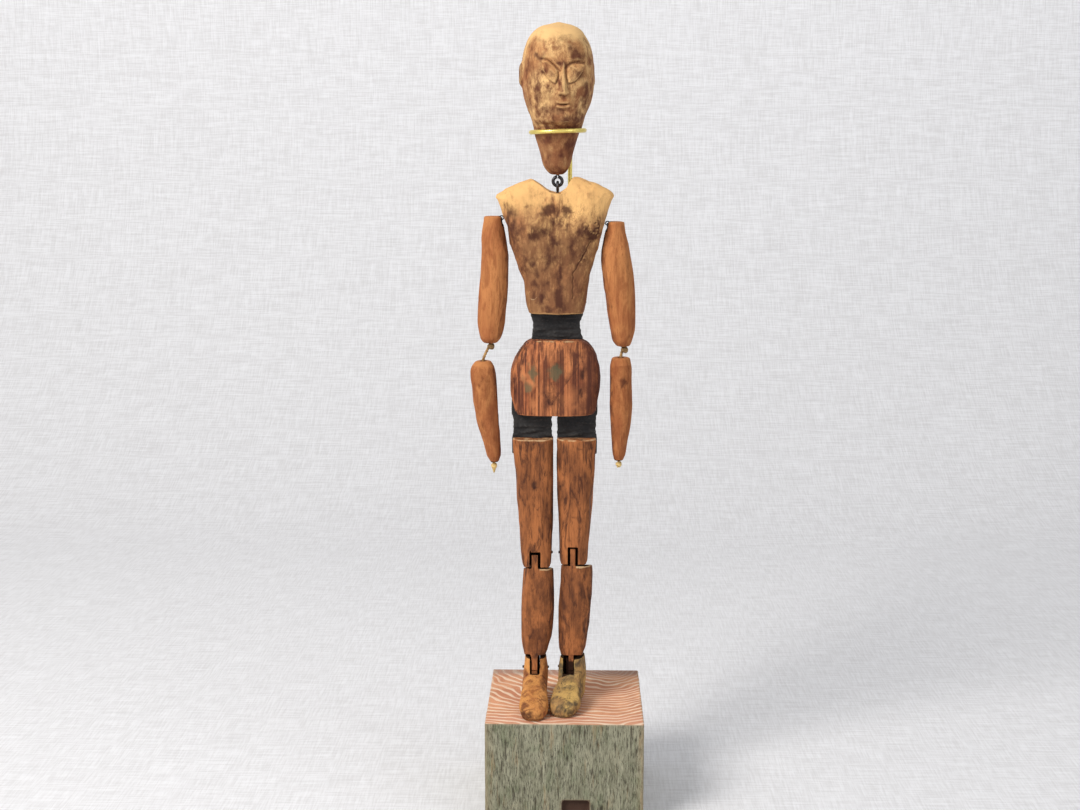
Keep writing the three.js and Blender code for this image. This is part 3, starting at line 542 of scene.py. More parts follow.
def wear(piece):
    """Marks ridges that are rubbed pale and hollows that are painted darker."""
    count = len(piece.data.vertices)
    edges = np.empty(len(piece.data.edges) * 2, np.int32)
    piece.data.edges.foreach_get("vertices", edges)
    a, b = edges.reshape(-1, 2).T
    points, normals = points_of(piece)
    ties = np.bincount(a, minlength=count) + np.bincount(b, minlength=count) + 1e-9

    def around(values):
        return (np.bincount(a, values[b], count) + np.bincount(b, values[a], count)) / ties

    middle = np.column_stack([around(points[:, axis]) for axis in range(3)])
    bend = ((points - middle) * normals).sum(1)
    for _ in range(4):
        bend = 0.5 * bend + 0.5 * around(bend)
    paint(piece, "ridge", (bend - 0.004) / 0.02)
    paint(piece, "hollow", (-bend - 0.003) / 0.018)


def finished(piece, material, body, slot, *nodes):
    """The piece gets its material, rides with a body and is shown in place of CAD nodes."""
    points, _ = points_of(piece)
    set_points(piece, np.clip(points, *[np.array(corner) / MM - ORIGIN for corner in cad_bounds]))
    wear(piece)
    piece.data.materials.clear()
    piece.data.materials.append(material)
    if body:
        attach(piece, body)
    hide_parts(*nodes)


# Materials
def srgb(*values):
    """A colour from 8-bit sRGB values, as the shaders take it."""
    shares = [value / 255 for value in values]
    return tuple(s / 12.92 if s < 0.04045 else ((s + 0.055) / 1.055) ** 2.4 for s in shares) + (1.0,)


class Shader:
    """One node material, built by short calls. Coordinates are the object's, in millimetres."""

    def __init__(self, name, roughness=0.6, metallic=0.0):
        self.material = bpy.data.materials.new(name)
        self.material.use_nodes = True
        self.tree = self.material.node_tree
        self.tree.nodes.clear()
        output = self.node("ShaderNodeOutputMaterial")
        self.surface = self.node("ShaderNodeBsdfPrincipled")
        self.tree.links.new(self.surface.outputs[0], output.inputs[0])
        self.set("Roughness", roughness)
        self.set("Metallic", metallic)
        place = self.node("ShaderNodeVectorMath")
        place.operation = "SCALE"
        place.inputs["Scale"].default_value = 1 / MM
        self.tree.links.new(self.node("ShaderNodeTexCoord").outputs["Object"], place.inputs[0])
        self.place = place.outputs[0]

    def node(self, kind, **settings):
        node = self.tree.nodes.new(kind)
        for key, value in settings.items():
            setattr(node, key, value)
        return node

    def put(self, socket, value):
        if isinstance(value, bpy.types.NodeSocket):
            self.tree.links.new(value, socket)
        elif value is not None:
            socket.default_value = value

    def set(self, name, value):
        self.put(self.surface.inputs[name], value)

    def math(self, operation, *values):
        node = self.node("ShaderNodeMath", operation=operation)
        for socket, value in zip(node.inputs, values):
            self.put(socket, value)
        return node.outputs[0]

    def add(self, first, second):
        return self.math("ADD", first, second)

    def times(self, first, second):
        return self.math("MULTIPLY", first, second)

    def noise(self, scale, shift=(0, 0, 0), detail=3.0, roughness=0.5, distortion=0.0):
        """A noise with its own scale along x, y and z."""
        mapping = self.node("ShaderNodeMapping")
        self.put(mapping.inputs["Vector"], self.place)
        mapping.inputs["Scale"].default_value = scale
        mapping.inputs["Location"].default_value = shift
        node = self.node("ShaderNodeTexNoise")
        self.put(node.inputs["Vector"], mapping.outputs[0])
        settings = {"Scale": 1.0, "Detail": detail, "Roughness": roughness, "Distortion": distortion}
        for name, value in settings.items():
            node.inputs[name].default_value = value
        return node.outputs["Fac"]

    def span(self, value, low, high, to_low=0.0, to_high=1.0):
        node = self.node("ShaderNodeMapRange", interpolation_type="SMOOTHSTEP")
        for socket, given in zip(node.inputs, (value, low, high, to_low, to_high)):
            self.put(socket, given)
        return node.outputs[0]

    def mix(self, share, first, second):
        node = self.node("ShaderNodeMix", data_type="RGBA")
        self.put(node.inputs["Factor"], share)
        self.put(node.inputs[6], first)
        self.put(node.inputs[7], second)
        return node.outputs[2]

    def layered(self, colour, *layers):
        """The colour under layers of (pattern, where it starts, where it is full, strength, tone)."""
        for pattern, low, high, strength, tone in layers:
            colour = self.mix(self.span(pattern, low, high, 0, strength), colour, tone)
        return colour

    def attribute(self, name):
        return self.node("ShaderNodeAttribute", attribute_name=name).outputs["Fac"]

    def bump(self, height, distance, strength):
        node = self.node("ShaderNodeBump")
        node.inputs["Strength"].default_value = strength
        node.inputs["Distance"].default_value = distance * MM
        self.put(node.inputs["Height"], height)
        self.set("Normal", node.outputs["Normal"])


def wood(name, tones, mottle, mottled, streaks, stripes=0.0, veins=0.0, shift=0.0, shine=0.55):
    """Old waxed wood in four tones: mottling, streaks or straight stripes, veins, pores, painted wear, and
    painted light and shade.
    """
    shader = Shader(name)
    light, base, deep, stain = (srgb(*tone) for tone in tones)
    across, up = mottle
    place = (shift, 2 * shift, -shift)
    slow = shader.noise((0.07, 0.07, 0.035), place, 3, distortion=0.5)
    patches = shader.noise((across, across, up), place, 5, 0.62, 1.1)
    small = shader.noise((3.2 * across, 3.2 * across, 2.4 * up), place, 4, 0.7)
    streak = shader.noise((1.1, 1.1, 0.045), place, 4, 0.6, 0.2)
    fibre = shader.noise((5.0, 5.0, 0.25), detail=2)
    pores = shader.noise((3.4, 3.4, 0.6), (0, 5, 0), 1)
    spots = shader.noise((1.3 * across, 1.3 * across, 1.1 * up), (9, 4, 2), 5, 0.65, 1.3)

    colour = shader.mix(shader.span(slow, 0.36, 0.62), base, light)
    if stripes:
        broad = shader.noise((0.62, 0.3, 0.006), place, 3, 0.62, 0.12)
        thin = shader.noise((1.5, 0.6, 0.012), place, 2, 0.5, 0.1)
        colour = shader.layered(
            colour, (broad, 0.47, 0.58, stripes, deep), (broad, 0.44, 0.36, 0.7 * stripes, light),
            (thin, 0.55, 0.68, 0.8 * stripes, stain),
        )
    colour = shader.layered(
        colour, (patches, 0.47, 0.66, mottled, deep), (small, 0.52, 0.72, 0.65 * mottled, deep),
        (small, 0.46, 0.28, 0.6 * mottled, light), (streak, 0.5, 0.74, streaks, deep),
        (streak, 0.44, 0.27, 0.6 * streaks, light),
    )
    if veins:
        web = shader.noise((0.34, 0.34, 0.26), (7, 1, 3), 3, 0.5, 1.6)
        off = shader.math("ABSOLUTE", shader.math("SUBTRACT", web, 0.5))
        colour = shader.layered(colour, (off, 0.035, 0.0, veins, deep))
    colour = shader.layered(
        colour, (spots, 0.57, 0.74, 0.9 * mottled, stain), (fibre, 0.56, 0.76, 0.28, deep),
        (pores, 0.67, 0.73, 0.5, stain),
    )

    # Painted wear and painted light and shade, with ragged edges
    ragged = shader.noise((0.24, 0.24, 0.15), (2, 2, 6), 6, 0.68)
    uneven = shader.times(shader.math("SUBTRACT", ragged, 0.5), 2.1)
    for attribute, *fading in (
        ("pale", 0.15, 0.95, 0.9, light), ("brown", 0.1, 1.1, 0.85, deep), ("dark", 0.12, 0.95, 0.88, stain),
        ("hollow", 0.25, 1.0, 0.5, stain), ("ridge", 0.45, 1.1, 0.4, light),
        ("grey", 0.15, 0.8, 0.75, srgb(92, 90, 68)), ("chips_and_highlights", 0.35, 0.75, 0.85, srgb(196, 164, 124)),
    ):
        amount = shader.attribute(attribute)
        amount = shader.add(amount, shader.times(uneven, shader.span(amount, 0.02, 0.25)))
        colour = shader.layered(colour, (amount, *fading))
    # Black lines: a crack, and painted shade in slots, gaps, holes and carved grooves
    line = shader.attribute("line")
    shader.set("Base Color", shader.layered(colour, (line, 0.15, 0.75, 0.95, srgb(34, 22, 17))))

    gloss = shader.add(shader.times(slow, 0.25), shine - 0.12)
    gloss = shader.add(gloss, shader.times(line, 0.4))
    shader.set("Roughness", shader.add(gloss, shader.times(small, 0.14)))
    height = shader.add(shader.times(fibre, 0.4), shader.times(streak, 0.7))
    height = shader.add(height, shader.times(small, 0.9))
    shader.bump(shader.add(height, shader.span(pores, 0.73, 0.65, 0, 0.5)), 0.17, 0.6)
    shader.set("Specular IOR Level", 0.07)
    return shader.material


# Each wood's tones are light, base, deep and stain
HEAD_WOOD = wood(
    "wood_head", [(228, 186, 128), (184, 134, 88), (128, 80, 54), (84, 46, 36)],
    (0.13, 0.09), 0.9, 0.3, veins=0.45, shine=0.56,
)
TORSO_WOOD = wood(
    "wood_torso", [(228, 180, 118), (190, 132, 86), (118, 78, 54), (72, 42, 34)],
    (0.15, 0.05), 0.8, 0.8, veins=0.45, shift=3, shine=0.56,
)
ARM_WOOD = wood(
    "wood_arms", [(186, 124, 76), (160, 98, 60), (128, 72, 44), (84, 48, 34)],
    (0.2, 0.05), 0.6, 0.55, shift=6, shine=0.58,
)
LEG_WOOD = wood(
    "wood_legs", [(170, 106, 64), (130, 80, 50), (78, 48, 36), (52, 34, 30)],
    (0.24, 0.06), 0.95, 0.6, shift=9,
)
PELVIS_WOOD = wood(
    "wood_pelvis", [(200, 128, 82), (160, 94, 62), (86, 50, 40), (52, 34, 30)],
    (0.2, 0.04), 0.55, 0.5, stripes=0.85, shift=12, shine=0.52,
)
FOOT_WOOD = wood(
    "wood_foot", [(208, 146, 84), (172, 108, 62), (116, 68, 46), (74, 44, 34)],
    (0.15, 0.1), 0.85, 0.4, shift=15,
)
OLIVE_WOOD = wood(
    "wood_olive", [(206, 168, 100), (160, 124, 80), (98, 82, 62), (70, 60, 48)],
    (0.17, 0.11), 1.0, 0.3, shift=18, shine=0.6,
)


def leather():
    shader = Shader("black_leather", 0.5)
    grain = shader.noise((1.6, 1.6, 1.6), detail=5, roughness=0.7)
    creases = shader.noise((0.25, 0.25, 0.9), detail=4, roughness=0.6, distortion=1.0)
    slow = shader.noise((0.12, 0.12, 0.12), detail=3)
    shader.set("Base Color", shader.layered(
        shader.mix(shader.span(slow, 0.35, 0.65), srgb(24, 23, 24), srgb(44, 42, 41)),
        (creases, 0.6, 0.72, 0.5, srgb(70, 66, 62)), (grain, 0.67, 0.78, 0.7, srgb(104, 62, 44)),
        (shader.attribute("ridge"), 0.3, 1.0, 0.35, srgb(72, 68, 64)),
    ))
    shader.set("Roughness", shader.span(grain, 0.3, 0.8, 0.55, 0.85))
    shader.set("Specular IOR Level", 0.3)
    shader.bump(shader.add(grain, creases), 0.25, 0.6)
    return shader.material


def twine_fibre():
    shader = Shader("twine_fibre", 0.92)
    fuzz = shader.noise((3.0, 3.0, 3.0), detail=5, roughness=0.75)
    slow = shader.noise((0.3, 0.3, 0.3), detail=2)
    colour = shader.mix(shader.span(slow, 0.35, 0.65), srgb(138, 102, 62), srgb(190, 152, 98))
    colour = shader.layered(colour, (fuzz, 0.5, 0.75, 0.6, srgb(108, 78, 52)))
    colour = shader.mix(shader.attribute("dark"), colour, srgb(74, 66, 44))
    shader.set("Base Color", shader.mix(shader.attribute("pale"), colour, srgb(226, 196, 128)))
    shader.bump(fuzz, 0.2, 0.8)
    return shader.material


def metal(name, clean, worn_tone, dull, roughness, metallic, scale=0.6):
    shader = Shader(name, roughness, metallic)
    spots = shader.noise((scale, scale, scale), detail=5, roughness=0.65)
    fine = shader.noise((4 * scale, 4 * scale, 4 * scale), detail=3)
    shader.set("Base Color", shader.layered(
        shader.mix(shader.span(spots, 0.35, 0.65), clean, worn_tone), (fine, 0.55, 0.75, 0.5, dull),
        (shader.attribute("ridge"), 0.3, 1.0, 0.4, clean),
    ))
    shader.set("Roughness", shader.span(spots, 0.3, 0.7, roughness - 0.08, roughness + 0.16))
    shader.bump(fine, 0.05, 0.5)
    return shader.material


LEATHER = leather()
TWINE_FIBRE = twine_fibre()
STEEL = metal("dark_steel", srgb(70, 69, 72), srgb(38, 37, 39), srgb(80, 56, 42), 0.4, 0.85, 0.9)
BRASS = metal("old_brass", srgb(236, 214, 122), srgb(212, 190, 98), srgb(150, 126, 60), 0.3, 0.8)


# Head
# The face, in millimetres before the head is turned: lids as outlines, brows as lines from the nose outwards
LIDS = [
    [(-11.2, 361.4), (-8.3, 360.8), (-5.3, 358.6), (-2.7, 355.8), (-2.5, 352.5), (-3.9, 348.3),
     (-6.2, 349.6), (-8.6, 351.8), (-10.9, 355.2), (-11.8, 358.6)],
    [(2.5, 357.6), (5.2, 358.9), (8.6, 359.5), (12.7, 359.3), (12.5, 357.2), (11.1, 354.0), (7.6, 350.2),
     (2.8, 348.2), (2.1, 352.0), (2.0, 355.2)],
]
BROWS = [
    [(-1.7, 355.6), (-2.9, 356.6), (-5.4, 359.3), (-8.5, 361.6), (-11.4, 362.0)],
    [(1.7, 357.0), (2.6, 358.4), (5.3, 359.9), (8.8, 360.4), (12.9, 360.0)],
]
NOSE_TOP, NOSE_TIP, MOUTH_Z, CHIN_Z, FACE_X = 358.3, 343.0, 337.8, 330.2, 0.3
MOUTH_HALF = 3.7


def rounded(outline, rounds=2):
    """The outline with its corners cut off, twice over."""
    for _ in range(rounds):
        cut_corners = []
        for (ax, az), (bx, bz) in zip(outline, outline[1:] + outline[:1]):
            cut_corners += [
                (0.8 * ax + 0.2 * bx, 0.8 * az + 0.2 * bz), (0.2 * ax + 0.8 * bx, 0.2 * az + 0.8 * bz),
            ]
        outline = cut_corners
    return outline


def inside_of(x, z, outline):
    """Distance from points to a closed outline, negative outside it."""
    near, inside = np.full(len(x), 1e3), np.zeros(len(x), bool)
    for (ax, az), (bx, bz) in zip(outline, outline[1:] + outline[:1]):
        near = np.minimum(near, from_line(x, z, [(ax, az), (bx, bz)]))
        if az != bz:
            inside ^= ((az > z) != (bz > z)) & (x < ax + (z - az) / (bz - az) * (bx - ax))
    return np.where(inside, near, -near)


def from_line(x, z, line):
    """Distance from points to an open line."""
    near = np.full(len(x), 1e3)
    for (ax, az), (bx, bz) in zip(line[:-1], line[1:]):
        dx, dz = bx - ax, bz - az
        share = np.clip(((x - ax) * dx + (z - az) * dz) / (dx * dx + dz * dz), 0, 1)
        near = np.minimum(near, np.hypot(x - ax - share * dx, z - az - share * dz))
    return near


def face_relief(x, z):
    """How far the carved face stands out from the plain blank, and where knife lines are dark with painted
    shade.
    """
    out, line = np.zeros_like(x), np.zeros_like(x)
    for side, lid, brow in zip((-1, 1), LIDS, BROWS):
        centre = np.mean(lid, axis=0)
        out -= 1.5 * bump(x, z, centre[0] - side * 0.6, centre[1] - 0.5, 7.6, 8.0)
        lid = rounded(lid)
        dome = np.clip(inside_of(x, z, lid) / 3.6, 0, 1)
        out += 1.5 * np.sqrt(dome * (2 - dome)) * np.clip(inside_of(x, z, lid) / 0.5, 0, 1)
        groove = from_line(x, z, brow)
        taper = np.clip(1.15 - np.abs(x - centre[0]) / 9.5, 0, 1)
        out -= 0.7 * np.exp(-((groove / 0.55) ** 2)) * taper
        above = from_line(x, z, [(px, pz + 1.7) for px, pz in brow])
        out += 0.5 * np.exp(-((above / 1.3) ** 2)) * taper
        rim = np.exp(-((inside_of(x, z, lid) / 0.6) ** 2)) * (z < centre[1])
        out -= 0.3 * rim
        # Painted shade in the brow grooves and along the lower rim of each lid
        line = np.maximum(line, (0.5 if side < 0 else 0.34) * np.exp(-((groove / 0.4) ** 2)) * taper)
        line = np.maximum(line, 0.22 * rim)
    # Nose: a thin long ridge that widens to its wings
    down = np.clip((NOSE_TOP - z) / (NOSE_TOP - NOSE_TIP), 0, 1)
    ends = 1 / (1 + np.exp(-(z - NOSE_TIP) / 0.3)) / (1 + np.exp((z - NOSE_TOP - 1.2) / 1.2))
    out += (1.0 + 1.9 * down**1.3) * np.exp(-np.abs((x - FACE_X) / (1.0 + 0.95 * down)) ** 2.2) * ends
    # Painted shade down the nose's right side
    line = np.maximum(line, 0.34 * np.exp(-((x - FACE_X - 0.7) / 0.5) ** 2) * ends * (z < NOSE_TOP - 1))
    for side in (-1, 1):
        out += 1.1 * bump(x, z, FACE_X + side * 2.4, NOSE_TIP + 1.2, 1.2, 1.3)
        # Painted shade in the nostrils
        line = np.maximum(line, 0.5 * bump(x, z, FACE_X + side * 1.5, NOSE_TIP - 0.4, 1.0, 0.6))
        # Cheekbones, and folds from the nose to the corners of the mouth
        out += 0.9 * bump(x, z, FACE_X + side * 10.5, 347.0, 4.6, 4.6)
        out -= 0.4 * bump(x, z, FACE_X + side * 6.6, 340.5, 1.8, 3.8)
        # Painted shade in the corners of the mouth
        line = np.maximum(line, 0.5 * bump(x, z, FACE_X + side * (MOUTH_HALF + 0.4), MOUTH_Z, 0.7, 0.8))
    out -= 0.45 * bump(x, z, FACE_X, NOSE_TIP - 1.6, 1.3, 1.3)
    # Mouth: two lips and the line between them
    bow = MOUTH_Z + 0.04 * (x - FACE_X) ** 2
    lips = np.clip(1 - ((x - FACE_X) / (MOUTH_HALF + 0.6)) ** 2, 0, 1)
    out += 0.75 * lips * np.exp(-(((z - bow - 1.1) / 0.75) ** 2))
    out += 0.95 * lips * np.exp(-(((z - bow + 1.25) / 0.85) ** 2))
    parting = np.clip(1.3 - np.abs(x - FACE_X) / MOUTH_HALF, 0, 1) * np.exp(-(((z - bow) / 0.42) ** 2))
    out -= 0.7 * np.clip(parting, 0, 1)
    # Painted shade in the parting of the lips
    line = np.maximum(line, 0.68 * np.clip(parting, 0, 1))
    out -= 0.6 * bump(x, z, FACE_X, MOUTH_Z - 3.4, 4, 1.3)
    # Painted shadow under the lower lip
    line = np.maximum(line, 0.35 * bump(x, z, FACE_X + 0.6, MOUTH_Z - 2.9, 3, 0.7))
    out += 1.1 * bump(x, z, FACE_X, CHIN_Z, 5.5, 3.8)
    out += 0.4 * bump(x, z, FACE_X, 369, 10, 6)
    return out, line


# Stains, and painted shadow under the lower lip, on the front of the turned head, as blots() takes them
HEAD_STAINS_AND_SHADOWS = [
    (-10.1, 348, 2.6, 5, .85), (-9.5, 341, 2.4, 6, .8), (-6, 334.5, 5, 2.8, .9), (-4, 347, 1.8, 2.4, .75),
    (-2.4, 353.6, 1.6, 2.6, .85), (-5, 356, 2.6, 2.2, .65), (11.4, 354.2, 2.4, 2.6, .85),
    (9.9, 364.4, 3.6, 4, .85),
    (4, 372.5, 6, 2, .6), (-8.9, 363, 3, 1.8, .85), (3, 359.8, 5, 1.7, .85), (16, 345.5, 2.6, 5, .7),
    (15.2, 338, 2.6, 5.5, .7), (5.6, 330.5, 2.6, 3.2, .95), (10, 330.5, 3.4, 3.6, .9),
    (-1.5, 331, 2, 2.8, .6),
    (-13.4, 350, 1.8, 7, .65), (7.5, 317.5, 3.4, 4, .85), (3, 311, 2.4, 3, .7), (-3, 320, 6, 2.4, .65),
    (2, 302.5, 7, 2.2, .85), (-5, 309, 2.6, 5, .5), (-6, 326, 7, 1.8, .7), (8, 326, 6, 1.8, .95),
    (-14, 338, 2.4, 7, .55), (-13, 368, 2, 4, .5), (-7, 371, 5, 1.4, .5), (3, 344, 1.2, 6, .6),
    (3.4, 334, 3, 1.1, .75), (-9, 329, 5, 2, .5),
    (14, 362, 2, 3, .5), (-15.5, 358, 1.6, 5, .5), (12, 334, 2.5, 3, .7), (-2, 315, 1.6, 4, .4),
]
# Rubbed spots, and a painted highlight under the right brow, as blots() takes them
HEAD_RUBS_AND_HIGHLIGHTS = [
    (13.4, 349.6, 3.2, 2, .9), (-12.6, 353, 2, 2.4, .6), (-8, 337.6, 2.2, 2.4, .8), (6.2, 345, 2, 3, .6),
    (-6, 362.8, 5, 2.2, .7), (-3, 340, 2, 2.4, .5), (1, 334.2, 3, 1.2, .6), (-12, 333, 3, 5, .6),
    (0, 344, 2.6, 1, .5),
    (-4, 313, 2.6, 4, .6), (9.6, 357.2, 2.2, 1.2, .8), (-8.6, 359.4, 2, 1, .6),
]


def make_head():
    low, high = levels("head")
    head = carve(
        "head_carving", low, high - low, sized(HEAD_OUTLINE, HEAD_WIDTH), sized(HEAD_PROFILE, HEAD_DEPTH),
        power=2.1, edges=(2.5, 2), step=0.5, around=200, grow=0.05,
    )
    points, normals = worked(head, "head", 11, 1)
    x, y, z = points.T
    front = np.clip(-normals[:, 1] * 1.6, 0, 1)
    relief, line = face_relief(x, z)
    ears = np.zeros_like(x)
    for side in (-1, 1):
        on_side = np.clip(side * normals[:, 0] * 2 - 0.8, 0, 1)
        rim = bump(y, z, 1.5, 354.3, 3.2, 6.2, 6)
        ears += on_side * (1.5 * rim - 0.8 * bump(y, z, 0.6, 355, 1.4, 3.6)) * (1 if side < 0 else 0.55)
    moved = points + normals * (relief * front + ears)[:, None]
    rotated = turned(moved, math.radians(HEAD_TURN), NECK_X)
    set_points(head, rotated)
    # Painted shade in the face's knife lines
    paint(head, "line", line * front)
    height = rotated[:, 2]
    behind = blots(rotated, [(-6, 352, 8, 10, .7), (7, 338, 6, 9, .7), (2, 314, 5, 8, .6)], 1)
    # Stains, with painted shadow under the lower lip, on the front and behind, and darker ears
    paint(head, "dark", blots(rotated, HEAD_STAINS_AND_SHADOWS) + behind + 0.8 * (ears > 0.5) * (normals[:, 1] < 0.2))
    crown = np.clip((height - 366) / 11, 0, 1)
    # A pale crown, with rubbed spots and a painted highlight under the right brow
    paint(head, "pale", np.maximum(crown, blots(rotated, HEAD_RUBS_AND_HIGHLIGHTS)))
    warm = 0.38 * np.clip((368 - height) / 8, 0, 1) + 0.2 * np.clip((350 - height) / 14, 0, 1)
    warm = warm + 0.4 * np.clip((327 - height) / 5, 0, 1)
    paint(head, "brown", warm + 0.3 * bump(rotated[:, 0], height, -13, 347, 7, 14))
    finished(head, HEAD_WOOD, "head", "tan_wood", "head")


# A hip strap's edges, outer and inner, from its middle: it stands out of the wood at the outside
HIP_STRAP_ROWS = [
    (0, 11.5, 10.7), (.27, 11.5, 10.9), (.4, 10.9, 10.9), (.6, 10.8, 10.9), (.72, 11.7, 10.9),
    (1, 11.6, 10.6),
]
WAIST_STRAP_ROWS = [
    (0, -13.4, 14.6), (.28, -13.6, 15), (.4, -13.1, 14), (.55, -12.9, 13.5), (.7, -14.1, 15.1),
    (1, -13.9, 15),
]


def kerf(low, high, x=0.0):
    return box_cutter((x - FAR, -KERF_HALF, low), (x + FAR, KERF_HALF, high))


# Torso
# Stains, and painted shadow under the breasts, as blots() takes them
TORSO_STAINS_AND_SHADOWS = [
    (-5.6, 280.6, 2.6, 3.4, .95), (-1.8, 282.4, 5, 2.4, .9), (5.2, 280.5, 2.4, 4.4, .95), (0, 277, 7, 5, .6),
    (-8.1, 270.9, 4.6, 2.3, 1), (-13, 267.6, 3, 2.4, .95), (-1.6, 264.8, 3, 4, 1), (-3, 256, 4.4, 3.2, .9),
    (-13, 253.5, 2, 2.4, .85), (-4, 243, 2.6, 4, .6), (17.6, 270.5, 5, 3, .8), (20.3, 266.6, 2.4, 2.6, .95),
    (13, 269.5, 3.4, 1.8, .85), (9, 262, 1.8, 8, .75), (-26, 276, 2.6, 8, .9), (-22, 266, 2.4, 7, .8),
    (-8, 234, 3, 2.6, .85), (-11, 244, 1.8, 6, .7), (2, 247, 1.9, 12, .85), (2.2, 232, 2.4, 9, 1.1),
    (-3, 228, 4, 2.4, .6), (22, 276, 2, 3, .5), (15.5, 258, 2.2, 6, .55), (-17, 252, 1.8, 7, .7),
    (-5, 250, 1.4, 6, .5), (12, 240, 2, 6, .5), (-13, 236, 2, 3, .6), (-2, 271, 2, 6, .5),
    (7, 272, 1.4, 7, .5),
    (-18, 272, 3, 3, .5), (-14, 284, 5, 1.1, .35),
]
TORSO_LIGHTS = [
    (18.5, 275.6, 2.6, 1.6, .9), (-12, 275, 3, 2, .9), (-9, 277.6, 4, 1.2, .7), (15, 283, 6, 5, .6),
    (-9, 259, 4, 5, .4), (-10, 249, 2.6, 5, .5), (5, 262, 2, 5, .55), (-6, 230, 2.4, 1.4, .7),
    (10, 249, 3, 3, .4), (20, 262, 1.6, 7, .6), (-16, 262, 2, 5, .5), (5.5, 243, 1.6, 6, .5),
    (-14, 246, 1.6, 4, .4),
]
TORSO_BACK_STAINS = [(4, 258, 7, 12, .8), (-12, 240, 5, 12, .7), (15, 276, 5, 6, .6)]
CRACK = [(19, 265), (15.4, 257.8), (9.4, 247.4), (9.2, 233.4)]
# Breasts and the hollows between and under them, belly and collar, then the back's spine and shoulder blades
TORSO_FORMS = [
    (-12, 275, 8, 7, 1.8), (16.5, 274, 8, 7, 1.8), (1.8, 274, 4, 11, -.8), (-11, 266, 8, 2.6, -.7),
    (17, 265.4, 8, 2.6, -.7), (1, 248, 2.4, 14, -.45), (1, 234, 9, 6, .5), (-14, 291.5, 9, 2.4, .35),
    (15, 290.5, 9, 2.4, .35),
]
TORSO_BACK_FORMS = [(.5, 258, 2.6, 26, -.8), (-14, 281, 8, 9, .7), (15, 280, 8, 9, .7)]


def neckline_cutter():
    vee = [(NECK_X + x * TORSO_WIDTH, NECKLINE_Z + z * NECKLINE_DROP) for x, z in NECKLINE]
    points = [(x, y, z) for y in (-FAR, FAR) for x, z in vee]
    count = len(vee)
    faces = [tuple(range(count)), tuple(reversed(range(count, 2 * count)))]
    faces += [(i, i + count, (i + 1) % count + count, (i + 1) % count) for i in range(count)]
    return new_object("cutter", points, faces)


def shoulder_cutters(side):
    """The bore for a shoulder eye's shank, and the slit that its ring sits in."""
    low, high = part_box(f"{side}_shoulder_eye")
    outward, z = SIDES[side]["outward"], (low.z + high.z) / 2 / MM - ORIGIN[2]
    eye_x = (high.x if outward > 0 else low.x) / MM - ORIGIN[0] - outward * EYE_REACH
    bore = sorted((eye_x, eye_x - outward * SHANK_DEPTH))
    slit = sorted((eye_x + outward * 4, eye_x - outward * 2.1))
    return [
        bar_across(SHANK_BORE, *bore, z, 24), box_cutter((slit[0], -0.9, z - 2.1), (slit[1], 0.9, z + 2.1)),
    ]


def make_torso():
    torso = carve(
        "torso_carving", TORSO_BOTTOM, TORSO_TOP - TORSO_BOTTOM, sized(TORSO_OUTLINE, TORSO_WIDTH),
        sized(TORSO_PROFILE, TORSO_DEPTH), power=2.7, edges=(1, 2.5), step=0.6, around=160, grow=0.4,
    )
    cutters = [neckline_cutter(), kerf(TORSO_BOTTOM - 1, TORSO_BOTTOM + KERF_DEPTH)]
    cutters.append(bar_up(0.95, NECK_X, 0, NECKLINE_Z - 13, NECKLINE_Z + 1))
    for side in SIDES:
        cutters += shoulder_cutters(side)
    cut(torso, *cutters)
    points, normals = worked(torso, "torso", 21, 2)
    x, y, z = points.T
    front, back = (np.clip(facing * normals[:, 1] * 1.5, 0, 1) for facing in (-1, 1))
    pits = noise_at(points, (0.8, 0, 0.7), (0, 5, 0))
    split = from_line(x + 0.22 * np.sin(z * 1.3), z, CRACK)
    relief = forms(x, z, TORSO_FORMS) - 0.9 * np.clip(pits - 0.1, 0, 1) * bump(x, z, 19.5, 272.5, 5, 5)
    relief -= 0.3 * band(split, 0, 0.3)
    set_points(torso, points + normals * (relief * front + forms(x, z, TORSO_BACK_FORMS) * back)[:, None])
    # Stains in front and behind, with the painted shadow under the breasts
    dark = blots(points, TORSO_STAINS_AND_SHADOWS) + blots(points, TORSO_BACK_STAINS, 1)
    paint(torso, "dark", dark + 1.2 * np.clip(pits - 0.12, 0, 1) * bump(x, z, 19.5, 272.5, 6, 6) * (y < 0))
    shoulders = rise(z, 272, 14) * 0.85 * (1 - 0.75 * bump(x, z, 0.5, 280, 7, 9))
    paint(torso, "pale", np.maximum(shoulders, blots(points, TORSO_LIGHTS)))
    brown = 0.95 * rise(-z, -285, 19) + 0.3 * rise(-z, -250, 20)
    paint(torso, "brown", brown + 0.45 * bump(x, z, -14, 280, 11, 10))
    waved = np.abs(z - 232.5 - 1.2 * np.sin(x * 0.7) - 0.09 * (x + 16) ** 2 * (x < -8))
    paint(torso, "chips_and_highlights", 0.45 * band(waved, 0, 0.5) * (x < -8) * front)
    paint(torso, "line", 0.5 * band(split, 0, 0.34) * front)
    finished(torso, TORSO_WOOD, "torso", "pale_wood", "torso")


